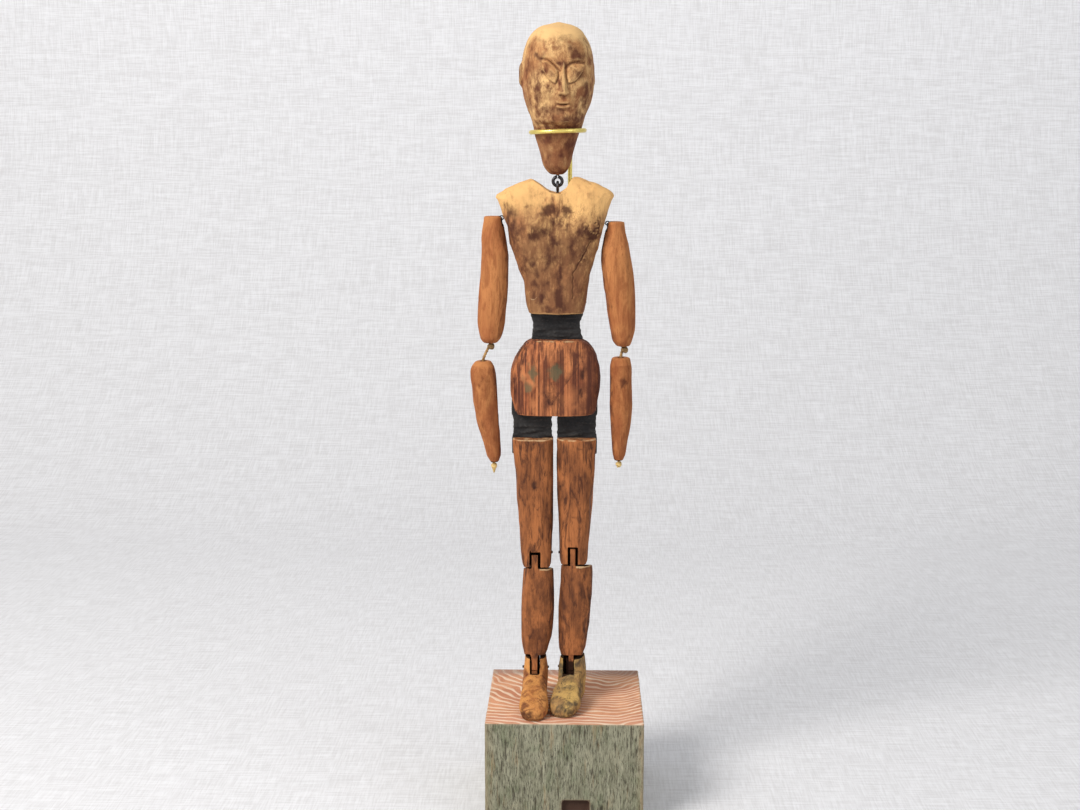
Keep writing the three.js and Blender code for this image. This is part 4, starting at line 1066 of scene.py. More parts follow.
# Stains, rubbed spots and green-grey patches on the pelvis, and the lower edge of its slanting dark mark
PELVIS_STAINS = [
    (-22, 204, 3, 4, .9), (-18, 201, 2.4, 3, .6), (0.3, 196, 1, 2.4, .8), (-24, 186, 1.4, 7, .7),
    (23.5, 188, 1.4, 10, .6), (14.5, 192, 1.6, 2.6, .8), (14, 181, 1.4, 2, .7), (-2, 178, 6, 5, .55),
    (-2, 184, 3, 4, .5), (-18, 205.5, 3, 1.6, .8),
]
PELVIS_LIGHTS = [
    (-13.8, 187, 1.8, 4, 1), (-16.5, 192, 2.4, 4, .8), (8, 179, 5, 5, .7), (12, 173, 4, 4, .7),
    (-11, 176, 4, 7, .5),
]
PELVIS_GREYS = [
    (0.2, 192.8, 3, 3.2, 1.1), (-12.6, 192, 2, 4, .95), (-15, 184, 1.8, 2.4, .8), (-15, 190, 3, 3, .4),
]
MARK_X, MARK_Z = [-2, 5, 12, 14], [174, 184.5, 194, 198]


def make_pelvis():
    pelvis = carve(
        "pelvis_carving", PELVIS_BOTTOM, PELVIS_TOP - PELVIS_BOTTOM, sized(PELVIS_OUTLINE, PELVIS_WIDTH),
        sized(PELVIS_PROFILE, PELVIS_DEPTH), power=2.9, edges=(0.7, 2), step=0.6, around=160,
    )
    cut(
        pelvis, kerf(PELVIS_TOP - KERF_DEPTH, PELVIS_TOP + 1),
        kerf(PELVIS_BOTTOM - 1, PELVIS_BOTTOM + KERF_DEPTH),
    )
    points, normals = worked(pelvis, "pelvis", 31, 3)
    x, y, z = points.T
    over = z - np.interp(x, MARK_X, MARK_Z)
    mark = np.clip(over / 0.8, 0, 1) * np.exp(-np.clip(over, 0, 99) / 6.5)
    mark = mark * (x > -4) * (x < 16) * (normals[:, 1] < 0)
    paint(pelvis, "dark", np.maximum(blots(points, PELVIS_STAINS), 0.4 * mark))
    paint(pelvis, "pale", blots(points, PELVIS_LIGHTS))
    paint(pelvis, "grey", blots(points, PELVIS_GREYS))
    # A pale line along the top front edge: a painted highlight
    paint(pelvis, "chips_and_highlights", 0.7 * band(z, PELVIS_TOP - 0.4, 0.45) * (y < -8))
    paint(pelvis, "brown", np.maximum(0.5 * rise(x, 8, 10) + 0.4, mark) - 0.25 * (x < -8))
    finished(pelvis, PELVIS_WOOD, "pelvis", "red_wood", "pelvis")


# Leather
def make_strap(name, rows, low, high, x, node, seed):
    """A thick leather strap. Its rows are [share of the height, low x, high x] in millimetres about x."""
    bottom, height = low - STRAP_HOLD, high - low + 2 * STRAP_HOLD
    outline = [(share, left + x, right + x) for share, left, right in rows]
    profile = [(0, -.5, .5), (.3, -.5, .5), (.5, -.46, .46), (.7, -.5, .5), (1, -.5, .5)]
    strap = carve(
        name, bottom, height, outline, sized(profile, STRAP_THICK),
        power=7, edges=(0.5, 0.5), step=0.5, around=200, grow=0.0,
    )
    worn(strap, 0.35)
    points, normals = points_of(strap)
    free = np.clip(np.minimum(points[:, 2] - low, high - points[:, 2]) / 1.5, 0, 1)
    creases = noise_at(points, (0.12, 0, 0.55), (0, seed, 0))
    rough = noise_at(points, 0.8, (seed, 0, 0))
    offset = normals * ((creases * 0.5 + rough * 0.18) * free)[:, None]
    offset[:, 1] += free * 0.35 * np.sin(points[:, 0] * 0.25 + seed)
    set_points(strap, points + offset)
    finished(strap, LEATHER, None, "leather", node)
    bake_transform(strap)


# Legs
SHIN_BOTTOM = ANKLE_PIN_Z + ANKLE_RISE


def joint_of(side, name):
    """The sizes and places of one knee or ankle."""
    spec = SIDES[side]
    x, tongue, play = spec[name]
    joint = SimpleNamespace(x=x + spec["hip"], half=tongue / 2, play=play, **JOINTS[name])
    joint.slot = (joint.x - joint.half - play, joint.x + joint.half + play)
    joint.shows = [joint.x + edge for edge in spec[f"{name}_shows"]]
    joint.fill = joint.half + play + JOINT_FILL
    joint.clear = joint.fill + 0.1
    return joint


def make_tongue_cutter(joint, shoulder):
    """All that goes past a blank's shoulder, round a tongue with a round end about the pin."""
    x, up, pin = joint.x, joint.up, joint.pin_z
    slope = math.tan(math.radians(joint.bevel))
    outline = [
        (y, shoulder - up * max(up * (y - joint.bevel_from), 0) * slope)
        for y in (-FAR, joint.bevel_from, FAR)
    ]
    outline += [(FAR, pin + up * FAR), (-FAR, pin + up * FAR)]
    if up < 0:
        outline.reverse()
    waste = prism_across(outline, x - FAR, x + FAR)
    low, high = sorted((pin - up * FAR, pin))
    kept = box_cutter((x - joint.half, -FAR + 5, low), (x + joint.half, FAR - 5, high))
    return cut(waste, kept, bar_across(joint.radius, x - joint.half, x + joint.half, pin, 96))


def make_thigh(side):
    spec, knee = SIDES[side], joint_of(side, "knee")
    hip = spec["hip"]
    cheek_end = KNEE_PIN_Z - KNEE_DROP + KNEE_GAP / 2 + spec["knee_lift"]
    below = cheek_end - 1
    thigh = carve(
        f"{side}_thigh_carving", cheek_end - CHEEK_LIP, THIGH_TOP - cheek_end + CHEEK_LIP,
        sized(spec["thigh"], LEG_WIDTH, hip), sized(THIGH_PROFILE, THIGH_DEPTH),
        power=3, edges=(0.35, 1.0), step=0.6, around=120,
    )
    left, right = knee.slot
    slot_round = knee.radius + knee.round_gap
    bevel_rise = (FAR - knee.bevel_from) * math.tan(math.radians(knee.bevel))
    cut(
        thigh, box_cutter((left, -FAR, below), (right, FAR, KNEE_PIN_Z)),
        box_cutter((left, -FAR, cheek_end), (right, SLOT_FRONT, KNEE_PIN_Z + spec["slot_lift"])),
        box_cutter((hip - FAR, -FAR, below), (hip + FAR, CHEEK_LIP_FRONT, cheek_end)),
        box_cutter((left, 0, cheek_end), (right, FAR, KNEE_PIN_Z + slot_round)),
        bar_across(slot_round, left, right, KNEE_PIN_Z),
        prism_across([
            (knee.bevel_from, cheek_end), (knee.bevel_from, below), (FAR, below),
            (FAR, cheek_end + bevel_rise),
        ], hip - FAR, hip + FAR),
        kerf(THIGH_TOP - KERF_DEPTH, THIGH_TOP + 1, hip),
        bar_across(knee.pin / 2 + PIN_FIT, hip - FAR, hip + FAR, KNEE_PIN_Z, 24),
    )
    points, normals = worked(thigh, "thigh", spec["leg_seed"])
    x, y, z = points.T
    # Painted shade: black inside the knee slot and on the cheeks' lower end faces, where the gaps are
    inside = (x > left - 0.25) & (x < right + 0.25)
    inside &= np.hypot(y, np.maximum(z - KNEE_PIN_Z, 0)) < slot_round + 0.25
    ends = (z < cheek_end + 0.5) & (normals[:, 2] < -0.55)
    paint(thigh, "line", (inside & (y > -9.4) | ends).astype(float))
    # A pale line round the top edge: a painted highlight
    paint(thigh, "chips_and_highlights", 0.62 * band(z, THIGH_TOP - 0.35, 0.55))
    # Marks, and painted shade on the side faces towards the other leg
    edge = 0.5 * np.clip(np.abs(normals[:, 0]) * 2.2 - 1.2, 0, 1) * (x * spec["outward"] < abs(hip))
    paint(thigh, "dark", np.maximum(blots(points, beside(hip, spec["thigh_marks"])), edge))
    finished(thigh, LEG_WOOD, f"{side}_thigh", "red_wood", f"{side}_thigh")


def make_shin(side):
    spec, knee, ankle = SIDES[side], joint_of(side, "knee"), joint_of(side, "ankle")
    hip = spec["hip"]
    top, bottom = KNEE_PIN_Z - KNEE_DROP - KNEE_GAP / 2 + spec["knee_lift"], SHIN_BOTTOM
    shin = carve(
        f"{side}_shin_carving", bottom, top - bottom, sized(spec["shin"], spec["shin_width"], hip),
        sized(SHIN_PROFILE, SHIN_DEPTH), power=2.8, edges=(0.4, 0.35), step=0.6, around=120,
    )
    for joint, low, high in (
        (knee, top - TONGUE_ROOT, KNEE_PIN_Z + knee.radius),
        (ankle, ANKLE_PIN_Z - ankle.radius, bottom + TONGUE_ROOT),
    ):
        reach = joint.radius - TONGUE_FLAT
        join(shin, box_cutter((joint.x - joint.half, -reach, low), (joint.x + joint.half, reach, high)))
    for joint, shoulder in ((knee, top), (ankle, bottom)):
        cut(shin, make_tongue_cutter(joint, shoulder))

    # Discs fill the slots' play behind, and the front of each tongue is cut back to what shows of it
    join(shin, *(
        bar_across(joint.radius - FILL_INSET, joint.x - joint.fill, joint.x + joint.fill, joint.pin_z, 96)
        for joint in (knee, ankle)
    ))
    left, right, beyond = knee.x - knee.clear, knee.x + knee.clear, KNEE_PIN_Z + FAR
    cut(
        shin, box_cutter((left, -FAR, top), (knee.shows[0], RELIEF_BACK, beyond)),
        box_cutter((knee.shows[1], -FAR, top), (right, RELIEF_BACK, beyond)),
        box_cutter((left, -FAR, KNEE_PIN_Z + spec["tongue_top"]), (right, RELIEF_BACK, beyond)),
    )
    join(shin, box_cutter(
        (ankle.shows[0], TONGUE_FRONT, ANKLE_PIN_Z + TONGUE_LIFT),
        (ankle.shows[1], RELIEF_BACK - 1, bottom + 0.6),
    ))
    cut(
        shin, box_cutter((ankle.x - ankle.clear, -FAR, -FAR), (ankle.shows[0], RELIEF_BACK, bottom)),
        box_cutter((ankle.shows[1], -FAR, -FAR), (ankle.x + ankle.clear, RELIEF_BACK, bottom)),
    )
    cut(shin, *(
        bar_across(joint.pin / 2 + WORN_FIT, hip - FAR, hip + FAR, joint.pin_z, 24)
        for joint in (knee, ankle)
    ))
    points, normals = worked(shin, "shin", spec["leg_seed"] + 1)
    x, y, z = points.T
    # Painted shade: black on the tongues except their front faces, and on the shoulders' flats; the left
    # ankle end dark too
    tongues = (z > top + 0.25) | (z < bottom - 0.25)
    faces_front = (normals[:, 1] < -0.72) & (y < RELIEF_BACK - 1.2)
    flats = (z > top - 0.45) & (normals[:, 2] > 0.6) | (z < bottom + 0.45) & (normals[:, 2] < -0.6)
    dark_ankle = (side == "left") * 0.75 * rise(-z, 1 - bottom, 2)
    paint(shin, "line", np.maximum(tongues & ~faces_front | flats & (y > -9.3), dark_ankle))
    paint(shin, "chips_and_highlights", 0.85 * band(z, top - 0.5, 0.7) * (x > knee.x + knee.half - 0.4) * (y < -5))
    # Painted shade on the side faces towards +x, away from the key light; a darker band at the lower end
    edge = 0.55 * np.clip(np.abs(normals[:, 0]) * 2.2 - 1.2, 0, 1) * (x > hip + 2)
    paint(shin, "dark", np.maximum(edge, 0.4 * band(z, bottom, 2.5)))
    paint(shin, "pale", blots(points, beside(hip, spec["shin_lights"])))
    paint(shin, "brown", np.full(len(points), 0.42))
    finished(shin, LEG_WOOD, f"{side}_shin", "red_wood", f"{side}_shin")


def make_foot(side):
    """A foot, made straight about its own middle and then turned."""
    spec, ankle = SIDES[side], joint_of(side, "ankle")
    foot_x, turn = spec["hip"] + spec["foot_x"], math.radians(-spec["turn"])
    bottom, top = SOLE + COLUMN_BASE, SHIN_BOTTOM - ANKLE_GAP
    low_x, high_x = spec["column"]
    half = COLUMN_DEPTH / 2
    foot = carve(
        f"{side}_foot_carving", bottom, top - bottom,
        [(0, low_x, high_x), (.6, low_x, high_x), (1, low_x + COLUMN_DRAW_IN, high_x - COLUMN_DRAW_IN)],
        [(0, -half - INSTEP_REACH, half), (.6, -half - INSTEP_REACH / 5, half), (1, -half, half)],
        power=2.6, edges=(1, 1.2), step=0.5, around=100,
    )
    shoe = carve(
        "cutter", -HEEL_BACK, spec["toe"] + HEEL_BACK, sized(SHOE_OUTLINE, spec["foot_width"]),
        [(0, -1, SHOE_HEIGHT * .8), (.2, -1, SHOE_HEIGHT), (.42, -1, SHOE_HEIGHT * .98),
         (.6, -1, SHOE_HEIGHT * .82), (.8, -1, TOE_HEIGHT * 1.22), (.93, -1, TOE_HEIGHT * .95),
         (1, -1, TOE_HEIGHT * .7)],
        power=2.7, edges=(2, 2.2), step=0.5, around=120,
    )
    points, _ = points_of(shoe)
    set_points(shoe, np.column_stack([points[:, 0], -points[:, 2], points[:, 1] + SOLE]))
    join(foot, shoe)
    rocker = cut(
        box_cutter((-FAR, 0, -FAR), (FAR, FAR, ANKLE_PIN_Z)),
        bar_across(ANKLE_HEIGHT + SOLE / 2, -2 * FAR, 2 * FAR, ANKLE_PIN_Z, 120),
    )
    slot_x = ankle.x - foot_x
    left, right = slot_x - ankle.half - ankle.play, slot_x + ankle.half + ankle.play
    cut(
        foot, box_cutter((-FAR, -2 * FAR, -FAR), (FAR, FAR, SOLE)), rocker,
        box_cutter((left, -FAR, ANKLE_PIN_Z), (right, FAR, top + 1)),
        box_cutter((left, -FAR, ANKLE_PIN_Z - 1.4), (right, -4, top + 1)),
        bar_across(ankle.radius + ankle.round_gap, left, right, ANKLE_PIN_Z),
        bar_across(ankle.pin / 2 + PIN_FIT, -FAR, FAR, ANKLE_PIN_Z, 24),
    )
    set_points(foot, turned(points_of(foot)[0], turn, foot_x))
    points, normals = worked(foot, "foot", spec["leg_seed"] + 2)
    x, y, z = points.T
    local = (x - foot_x) * math.cos(turn) + y * math.sin(turn)
    # Painted shade: black in the ankle slot, its opening, and on the column's top face
    inside = (local > left - 0.2) & (local < right + 0.2) & (z > ANKLE_PIN_Z - ankle.radius - 1)
    ends = (z > top - 0.5) & (normals[:, 2] > 0.6)
    opening = inside & (np.abs(normals[:, 1]) < 0.75) & (z > ANKLE_PIN_Z - 1.7)
    paint(foot, "line", (opening | inside & (y > -9) & (z > 12) | ends).astype(float))
    # Painted shadow along the sole where the foot meets the block, with scuffs
    sole_shadow = rise(-z, -2.6, 1.3) * 0.85
    paint(foot, "dark", np.maximum(sole_shadow, blots(points, beside(foot_x, spec["scuffs"]))))
    paint(foot, "grey", 0.75 * bump(local, z, slot_x, ANKLE_PIN_Z, 5, 6) * (y < 0) * (side == "left"))
    material, slot = {"right": (FOOT_WOOD, "tan_wood"), "left": (OLIVE_WOOD, "olive_wood")}[side]
    finished(foot, material, f"{side}_foot", slot, f"{side}_foot")


def make_nail(side, joint, body, turn, seed):
    """A cut nail across x: straight shank, ends peened over a little."""
    low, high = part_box(f"{side}_{joint}_pin")
    radius = JOINTS[joint]["pin"] / 2
    middle = np.array([(low[i] + high[i]) / 2 / MM for i in range(3)]) - ORIGIN
    reach = ((high.x - low.x) / MM - 2 * radius * abs(math.sin(turn))) / math.cos(turn) / 2
    along = np.concatenate([
        np.linspace(-reach, -reach + 0.5, 6), np.linspace(-reach + 0.8, reach - 0.8, 40),
        np.linspace(reach - 0.5, reach, 6),
    ])
    from_end = reach - np.abs(along)
    radii = radius * np.where(from_end < 0.5, 0.72 + 0.28 * np.sqrt(np.clip(from_end / 0.5, 0, 1)), 1.0)
    direction = np.array([math.cos(turn), math.sin(turn), 0])
    nail = loft(f"{side}_{joint}_nail", tube(middle + along[:, None] * direction, radii, 24))
    nail.data.shade_smooth()
    points, normals = points_of(nail)
    dents = noise_at(points, 0.9, (seed, 0, 0))
    set_points(nail, points + normals * (0.06 * dents - 0.03)[:, None])
    finished(nail, STEEL, f"{side}_{body}", "dark_steel", f"{side}_{joint}_pin")


def make_leg(side):
    spec = SIDES[side]
    make_thigh(side)
    make_shin(side)
    make_foot(side)
    make_nail(side, "knee", "thigh", 0.0, spec["leg_seed"])
    make_nail(side, "ankle", "foot", math.radians(-spec["turn"]), spec["leg_seed"] + 3)


# Arms
def eye_place(side):
    """The x and z of the eye in an arm's top."""
    low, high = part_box(f"{side}_arm_eye")
    return (low.x + high.x) / 2 / MM - ORIGIN[0], high.z / MM - ORIGIN[2] - EYE_REACH


def arm_of(side):
    """The places that an arm's pieces share."""
    spec = SIDES[side]
    eye_x, eye_z = eye_place(side)

    def centre(kind, row):
        return eye_x + spec[f"{kind}_width"] * (spec[kind][row][1] + spec[kind][row][2]) / 2

    arm = SimpleNamespace(
        side=side, outward=spec["outward"], seed=spec["arm_seed"], eye_x=eye_x, eye_z=eye_z,
    )
    arm.low, arm.high = levels(f"{side}_upper_arm")
    arm.fore_low, arm.fore_high = levels(f"{side}_forearm")
    arm.twine_top, arm.twine_low, arm.wrist = centre("arm", 0), centre("fore", -1), centre("fore", 0)
    arm.knot_z, arm.wrist_z = arm.low - FIT - KNOT / 2, arm.fore_low - FIT - WRIST_KNOT / 2
    bend = arm.wrist - arm.twine_low
    arm.route = curve([
        (arm.twine_top, 0, arm.low + TWINE_HOLE - 1), (arm.twine_top, 0, arm.low),
        (arm.twine_low, 0, arm.fore_high), (arm.twine_low + 0.18 * bend, 0, arm.fore_high - 10),
        (arm.twine_low + 0.8 * bend, 0, arm.fore_low + 10), (arm.wrist, 0, arm.wrist_z),
    ], 0.3)
    return arm


def limb(arm, name, kind, bottom, top, edges):
    spec, x = SIDES[arm.side], arm.eye_x
    width = spec[f"{kind}_width"]
    outline = [(share, x + low * width, x + high * width) for share, low, high, _ in spec[kind]]
    profile = [(share, -half * width, half * width) for share, _, _, half in spec[kind]]
    return carve(
        f"{arm.side}_{name}_carving", bottom, top - bottom, outline, profile,
        power=2, edges=edges, step=0.5, around=90,
    )


def make_upper_arm(arm):
    side, eye_x, eye_z = arm.side, arm.eye_x, arm.eye_z
    reach = ARM_RING + ARM_WIRE / 2 + 0.15
    inner = sorted((eye_x + arm.outward * reach, eye_x - arm.outward * FAR))
    upper = limb(arm, "upper_arm", "arm", arm.low, arm.high, (1.2, 0.8))
    cut(
        upper, bar_across(EYE_POCKET, *inner, eye_z),
        box_cutter((inner[0], -EYE_POCKET, eye_z), (inner[1], EYE_POCKET, arm.high + 1)),
        bar_up(TWINE_BORE / 2, arm.twine_top, 0, arm.low - 1, arm.low + TWINE_HOLE),
        bar_up(SHANK_BORE, eye_x, 0, eye_z - SHANK_DEPTH, eye_z),
    )
    points, normals = worked(upper, "upper_arm", arm.seed)
    z, outer = points[:, 2], normals[:, 0] * arm.outward
    paint(upper, "pale", 0.6 * band(z, arm.high, 2.0) + 0.35 * np.clip(outer, 0, 1))
    # Painted shade: darker on the inner side, which faces the torso, and black in the eye pocket; a darker
    # band at the lower end
    shaded_inner_edge = 0.5 * np.clip(-outer * 2.2 - 1.1, 0, 1)
    pocket = (np.abs(points[:, 1]) < EYE_POCKET + 0.3) & (z > eye_z - EYE_POCKET - 0.5) & (outer < -0.3)
    paint(upper, "line", 0.8 * pocket)
    paint(upper, "dark", np.maximum(shaded_inner_edge, 0.4 * band(z, arm.low + 0.4, 0.8)))
    finished(upper, ARM_WOOD, f"{side}_upper_arm", "tan_wood", f"{side}_upper_arm")


def make_forearm(arm):
    side, top = arm.side, arm.fore_high
    fore = limb(arm, "forearm", "fore", arm.fore_low, top, (1, 1.4))
    heights = arm.route[:, 2]
    inside = arm.route[(heights < top + 2) & (heights > arm.fore_low - 1.5)][::6]
    cut(fore, loft("cutter", tube(inside, TWINE_BORE / 2, 20)))
    points, normals = worked(fore, "forearm", arm.seed + 1)
    x, y, z = points.T
    pale_end = 0.9 * rise(z, top - 4.5, 3) * (side == "right")
    paint(fore, "pale", pale_end + 0.5 * band(z, top - 1, 1.5))
    # Painted shade: black in the twine hole at the top and across the lower end
    hole = np.hypot(x - arm.twine_low, y) < TWINE_BORE / 2 + 0.7
    paint(fore, "line", hole * (z > top - 3) + band(z, arm.fore_low, 0.7))
    # Painted shade on the inner side, which faces the torso, and a dark patch
    shaded_inner_edge = 0.6 * np.clip(-normals[:, 0] * arm.outward * 2.2 - 1.2, 0, 1)
    patch = (arm.twine_low - 1, 186, 2, 4, .45)
    if side == "left":
        patch = (arm.wrist + arm.outward * 1.5, 186, 1.2, 2.4, .9)
    paint(fore, "dark", np.maximum(shaded_inner_edge, blots(points, [patch])))
    paint(fore, "brown", 0.5 * (z < top - 4))
    finished(fore, ARM_WOOD, f"{side}_forearm", "tan_wood", f"{side}_forearm")


def make_arm(side):
    arm = arm_of(side)
    make_upper_arm(arm)
    make_forearm(arm)
    make_twine(arm)


def make_knot(x, y, z, size):
    """Three crossing loops of twine round a core."""
    turns, radius = np.linspace(0, 2 * math.pi, 120), size / 2 - 0.65
    skins = []
    for tilt in (0.5, -0.6, 1.4):
        loop = np.column_stack([
            radius * np.cos(turns), radius * np.sin(turns) * math.cos(tilt),
            radius * np.sin(turns) * math.sin(tilt) * 0.8 + 0.3 * np.sin(2 * turns),
        ])
        skins.append(tube(loop[:-4] + (x, y, z), 0.6, 10))
    core = np.column_stack([0 * turns[:20] + x, 0 * turns[:20] + y, z + np.linspace(-radius, radius, 20)])
    return skins + [tube(core, 0.9, 12)]


def make_twine(arm):
    """Two plies laid round the route, a knot beside them, and a frayed knot at the wrist."""
    side, route = arm.side, arm.route
    along = np.concatenate([[0], np.cumsum(np.linalg.norm(np.diff(route, axis=0), axis=1))])
    skins = []
    for ply in range(2):
        phase = along / 3.4 * 2 * math.pi + ply * math.pi
        path = route + 0.4 * np.column_stack([np.cos(phase), np.sin(phase), 0 * phase])
        skins.append(tube(path, 0.5, 10))
    random = np.random.default_rng(arm.seed)
    share = (arm.low - arm.knot_z) / (arm.low - arm.fore_high)
    knot_x = arm.twine_top + (arm.twine_low - arm.twine_top) * share + KNOT_ASIDE
    skins += make_knot(knot_x, -0.5, arm.knot_z + 0.5, KNOT)
    skins += make_knot(arm.wrist, 0, arm.wrist_z, WRIST_KNOT)
    hairs, longest, drawn_in = SIDES[side]["tuft"]
    for _ in range(hairs):
        start = np.array([*random.uniform(-1.1, 1.1, 2), 0])
        down = np.linspace(0, longest * random.uniform(0.55, 1), 8)
        draw = 1 - drawn_in * down / longest
        stray = random.uniform(-0.12, 0.12, 2)
        hair = np.column_stack([start[0] * draw + stray[0] * down, start[1] * draw + stray[1] * down, -down])
        skins.append(tube(hair + (arm.wrist, 0, arm.wrist_z - 0.9), np.linspace(0.22, 0.07, 8), 5))
    twine = loft(f"{side}_elbow_lacing", *skins)
    twine.data.shade_smooth()
    points, _ = points_of(twine)
    knot = np.hypot(points[:, 0] - knot_x, points[:, 2] - arm.knot_z - 0.5) < KNOT / 2 + 0.4
    paint(twine, "dark", 0.4 * knot * (np.abs(points[:, 0] - knot_x) < KNOT / 2 + 0.3))
    paint(twine, "pale", 0.9 * rise(-points[:, 2], -arm.wrist_z - 2, 2))
    finished(twine, TWINE_FIBRE, None, "twine", f"{side}_elbow_twine")
    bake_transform(twine)


# Screw eyes
def make_eye(name, ring, wire, shank, matrix, body, node):
    """Wire bent round to a ring, its end close to the neck, on a threaded point down -z."""
    turns = np.radians(np.linspace(-86, 264, 90))
    ring_path = np.column_stack([ring * np.cos(turns), 0 * turns, ring * np.sin(turns)])
    down = np.linspace(-ring - shank, -ring - 0.35 * wire, 110)
    shaft = np.column_stack([0 * down, 0 * down, down])
    radius = wire / 2
    tip = np.clip((down + ring + shank) / (3 * radius), 0.06, 1)
    skins = [tube(ring_path, radius * np.where(turns > math.radians(258), 0.9, 1.0), 20)]
    rings = tube(shaft, radius * tip * 0.92, 20)
    angle = 2 * math.pi * np.arange(20) / 20
    thread = 0.5 + 0.5 * np.sin(down[:, None] / (0.55 * wire) * 2 * math.pi - angle)
    deep = np.clip((-down[:, None] - ring - 0.6 * wire) / wire, 0, 1)
    centre = shaft[:, None, :]
    rings = centre + (rings - centre) * (1 + 0.1 * thread * deep)[:, :, None]
    skins.append(rings)
    eye = loft(name, *skins)
    eye.data.shade_smooth()
    points, _ = points_of(eye)
    set_points(eye, np.array([matrix @ Vector(point) for point in points]))
    finished(eye, STEEL, body, "dark_steel", node)


def make_eyes():
    quarter = math.pi / 2
    low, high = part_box("torso_screw_eye")
    torso_eye = high.z / MM - ORIGIN[2] - 3.0
    low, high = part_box("neck_screw_eye")
    neck_eye = low.z / MM - ORIGIN[2] + 3.35
    make_eye(
        "torso_wire_eye", 2.2, 1.6, 12,
        Matrix.Translation((NECK_X, 0, torso_eye)) @ Matrix.Rotation(quarter, 4, "Z"),
        "torso", "torso_screw_eye",
    )
    make_eye(
        "neck_wire_eye", 2.45, 1.8, 11,
        Matrix.Translation((NECK_X, 0, neck_eye)) @ Matrix.Rotation(math.pi, 4, "X"),
        "head", "neck_screw_eye",
    )
    for side, spec in SIDES.items():
        x, z = eye_place(side)
        arm = Matrix.Translation((x, 0, z)) @ Matrix.Rotation(quarter, 4, "Z")
        shoulder = Matrix.Translation((x, 0, z + ARM_RING + FIT / 3))
        shoulder = shoulder @ Matrix.Rotation(spec["outward"] * quarter, 4, "Y")
        for place, matrix, body in (("arm", arm, f"{side}_upper_arm"), ("shoulder", shoulder, "torso")):
            make_eye(
                f"{side}_{place}_wire_eye", ARM_RING, ARM_WIRE, EYE_SHANK, matrix,
                body, f"{side}_{place}_eye",
            )


# Stand
RING_MEAN, RING_WIRE, ROD, RING_TILT = 14.6, 2.4, 2.4, 0.035
# The notch at the foot of the block's front, and where its left side steps in behind a split-off slab
NOTCH, NOTCH_TOP, NOTCH_DEPTH, LEFT_STEP_Y, STEP_IN = (4.6, 19.5), -45.5, 3, -20.0, 1.1


def make_ring():
    low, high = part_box("neck_ring")
    ring_z = (low.z + high.z) / 2 / MM - ORIGIN[2]
    count, sides = 240, 24
    points, faces = [], []
    for i, turn in enumerate(np.linspace(0, 2 * math.pi, count + 1)[:-1]):
        for a in 2 * math.pi * np.arange(sides) / sides:
            reach = RING_MEAN + RING_WIRE / 2 * math.cos(a)
            lift = RING_WIRE / 2 * math.sin(a) + RING_TILT * reach * math.cos(turn)
            points.append((NECK_X + reach * math.cos(turn), reach * math.sin(turn), ring_z + lift))
        for j in range(sides):
            a, b = i * sides + j, i * sides + (j + 1) % sides
            faces.append((a, (a + sides) % (count * sides), (b + sides) % (count * sides), b))
    ring = new_object("neck_ring_wire", points, faces)
    ring.data.shade_smooth()
    finished(ring, BRASS, "stand", "brass", "neck_ring")


def rod_place():
    """The rod's x and y, and its lowest and highest z."""
    low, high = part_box("stand_rod")
    x, y = (low.x + high.x) / 2 / MM - ORIGIN[0], (low.y + high.y) / 2 / MM - ORIGIN[1]
    return x, y, low.z / MM - ORIGIN[2], high.z / MM - ORIGIN[2]


def make_rod():
    x, y, bottom, top = rod_place()
    up = np.concatenate([
        np.linspace(bottom, bottom + 0.5, 5), np.linspace(bottom + 1, top - 0.6, 120),
        np.linspace(top - 0.4, top, 6),
    ])
    from_end = np.minimum(up - bottom, top - up)
    radii = ROD / 2 * np.where(from_end < 0.4, 0.7 + 0.3 * np.sqrt(np.clip(from_end / 0.4, 0, 1)), 1)
    rod = loft("stand_rod_bar", tube(np.column_stack([0 * up + x, 0 * up + y, up]), radii, 32))
    rod.data.shade_smooth()
    finished(rod, BRASS, "stand", "brass", "stand_rod")


def make_block():
    x, y, _, _ = rod_place()
    lows, highs = np.array(BLOCK_LOW) / MM - ORIGIN, np.array(BLOCK_HIGH) / MM - ORIGIN
    block = box_cutter(tuple(lows), tuple(highs))
    block.name = "stand_post_block"
    notch = box_cutter((NOTCH[0], lows[1] - 1, lows[2] - 1), (NOTCH[1], lows[1] + NOTCH_DEPTH, NOTCH_TOP))
    cut(block, bar_up(ROD / 2 + PIN_FIT, x, y, -30, 1), notch)
    worn(block, 0.72)
    points, normals = points_of(block)
    x, y, z = points.T
    side = np.clip(1 - np.abs(normals[:, 2]) * 1.4, 0, 1)
    top = np.clip(normals[:, 2] * 3 - 1.5, 0, 1)
    groove = noise_at(points, (0.35, 0.35, 0.02))
    fine = noise_at(points, (1.3, 1.3, 0.2), (9, 0, 0))
    checks = noise_at(points, (0.9, 0.9, 0.09), (4, 4, 0))
    offset = side * (0.16 * groove + 0.16 * fine - 0.2 - 0.8 * np.clip(checks - 0.42, 0, 1)) - 0.08 * top
    on_left = (side > 0.4) & (x < lows[0] + 1.5)
    offset = offset - STEP_IN * on_left + STEP_IN * (on_left & (y < LEFT_STEP_Y))
    set_points(block, points + normals * offset[:, None])
    paint(block, "top", top)
    paint(block, "check", side * np.clip((checks - 0.42) * 7, 0, 1) * 0.8)
    inside = (x > NOTCH[0] - 0.6) & (x < NOTCH[1] + 0.6) & (z < NOTCH_TOP + 0.6)
    paint(block, "notch", inside & (y < lows[1] + 5))
    finished(block, BLOCK_WOOD, "stand", "post_wood", "stand_block")


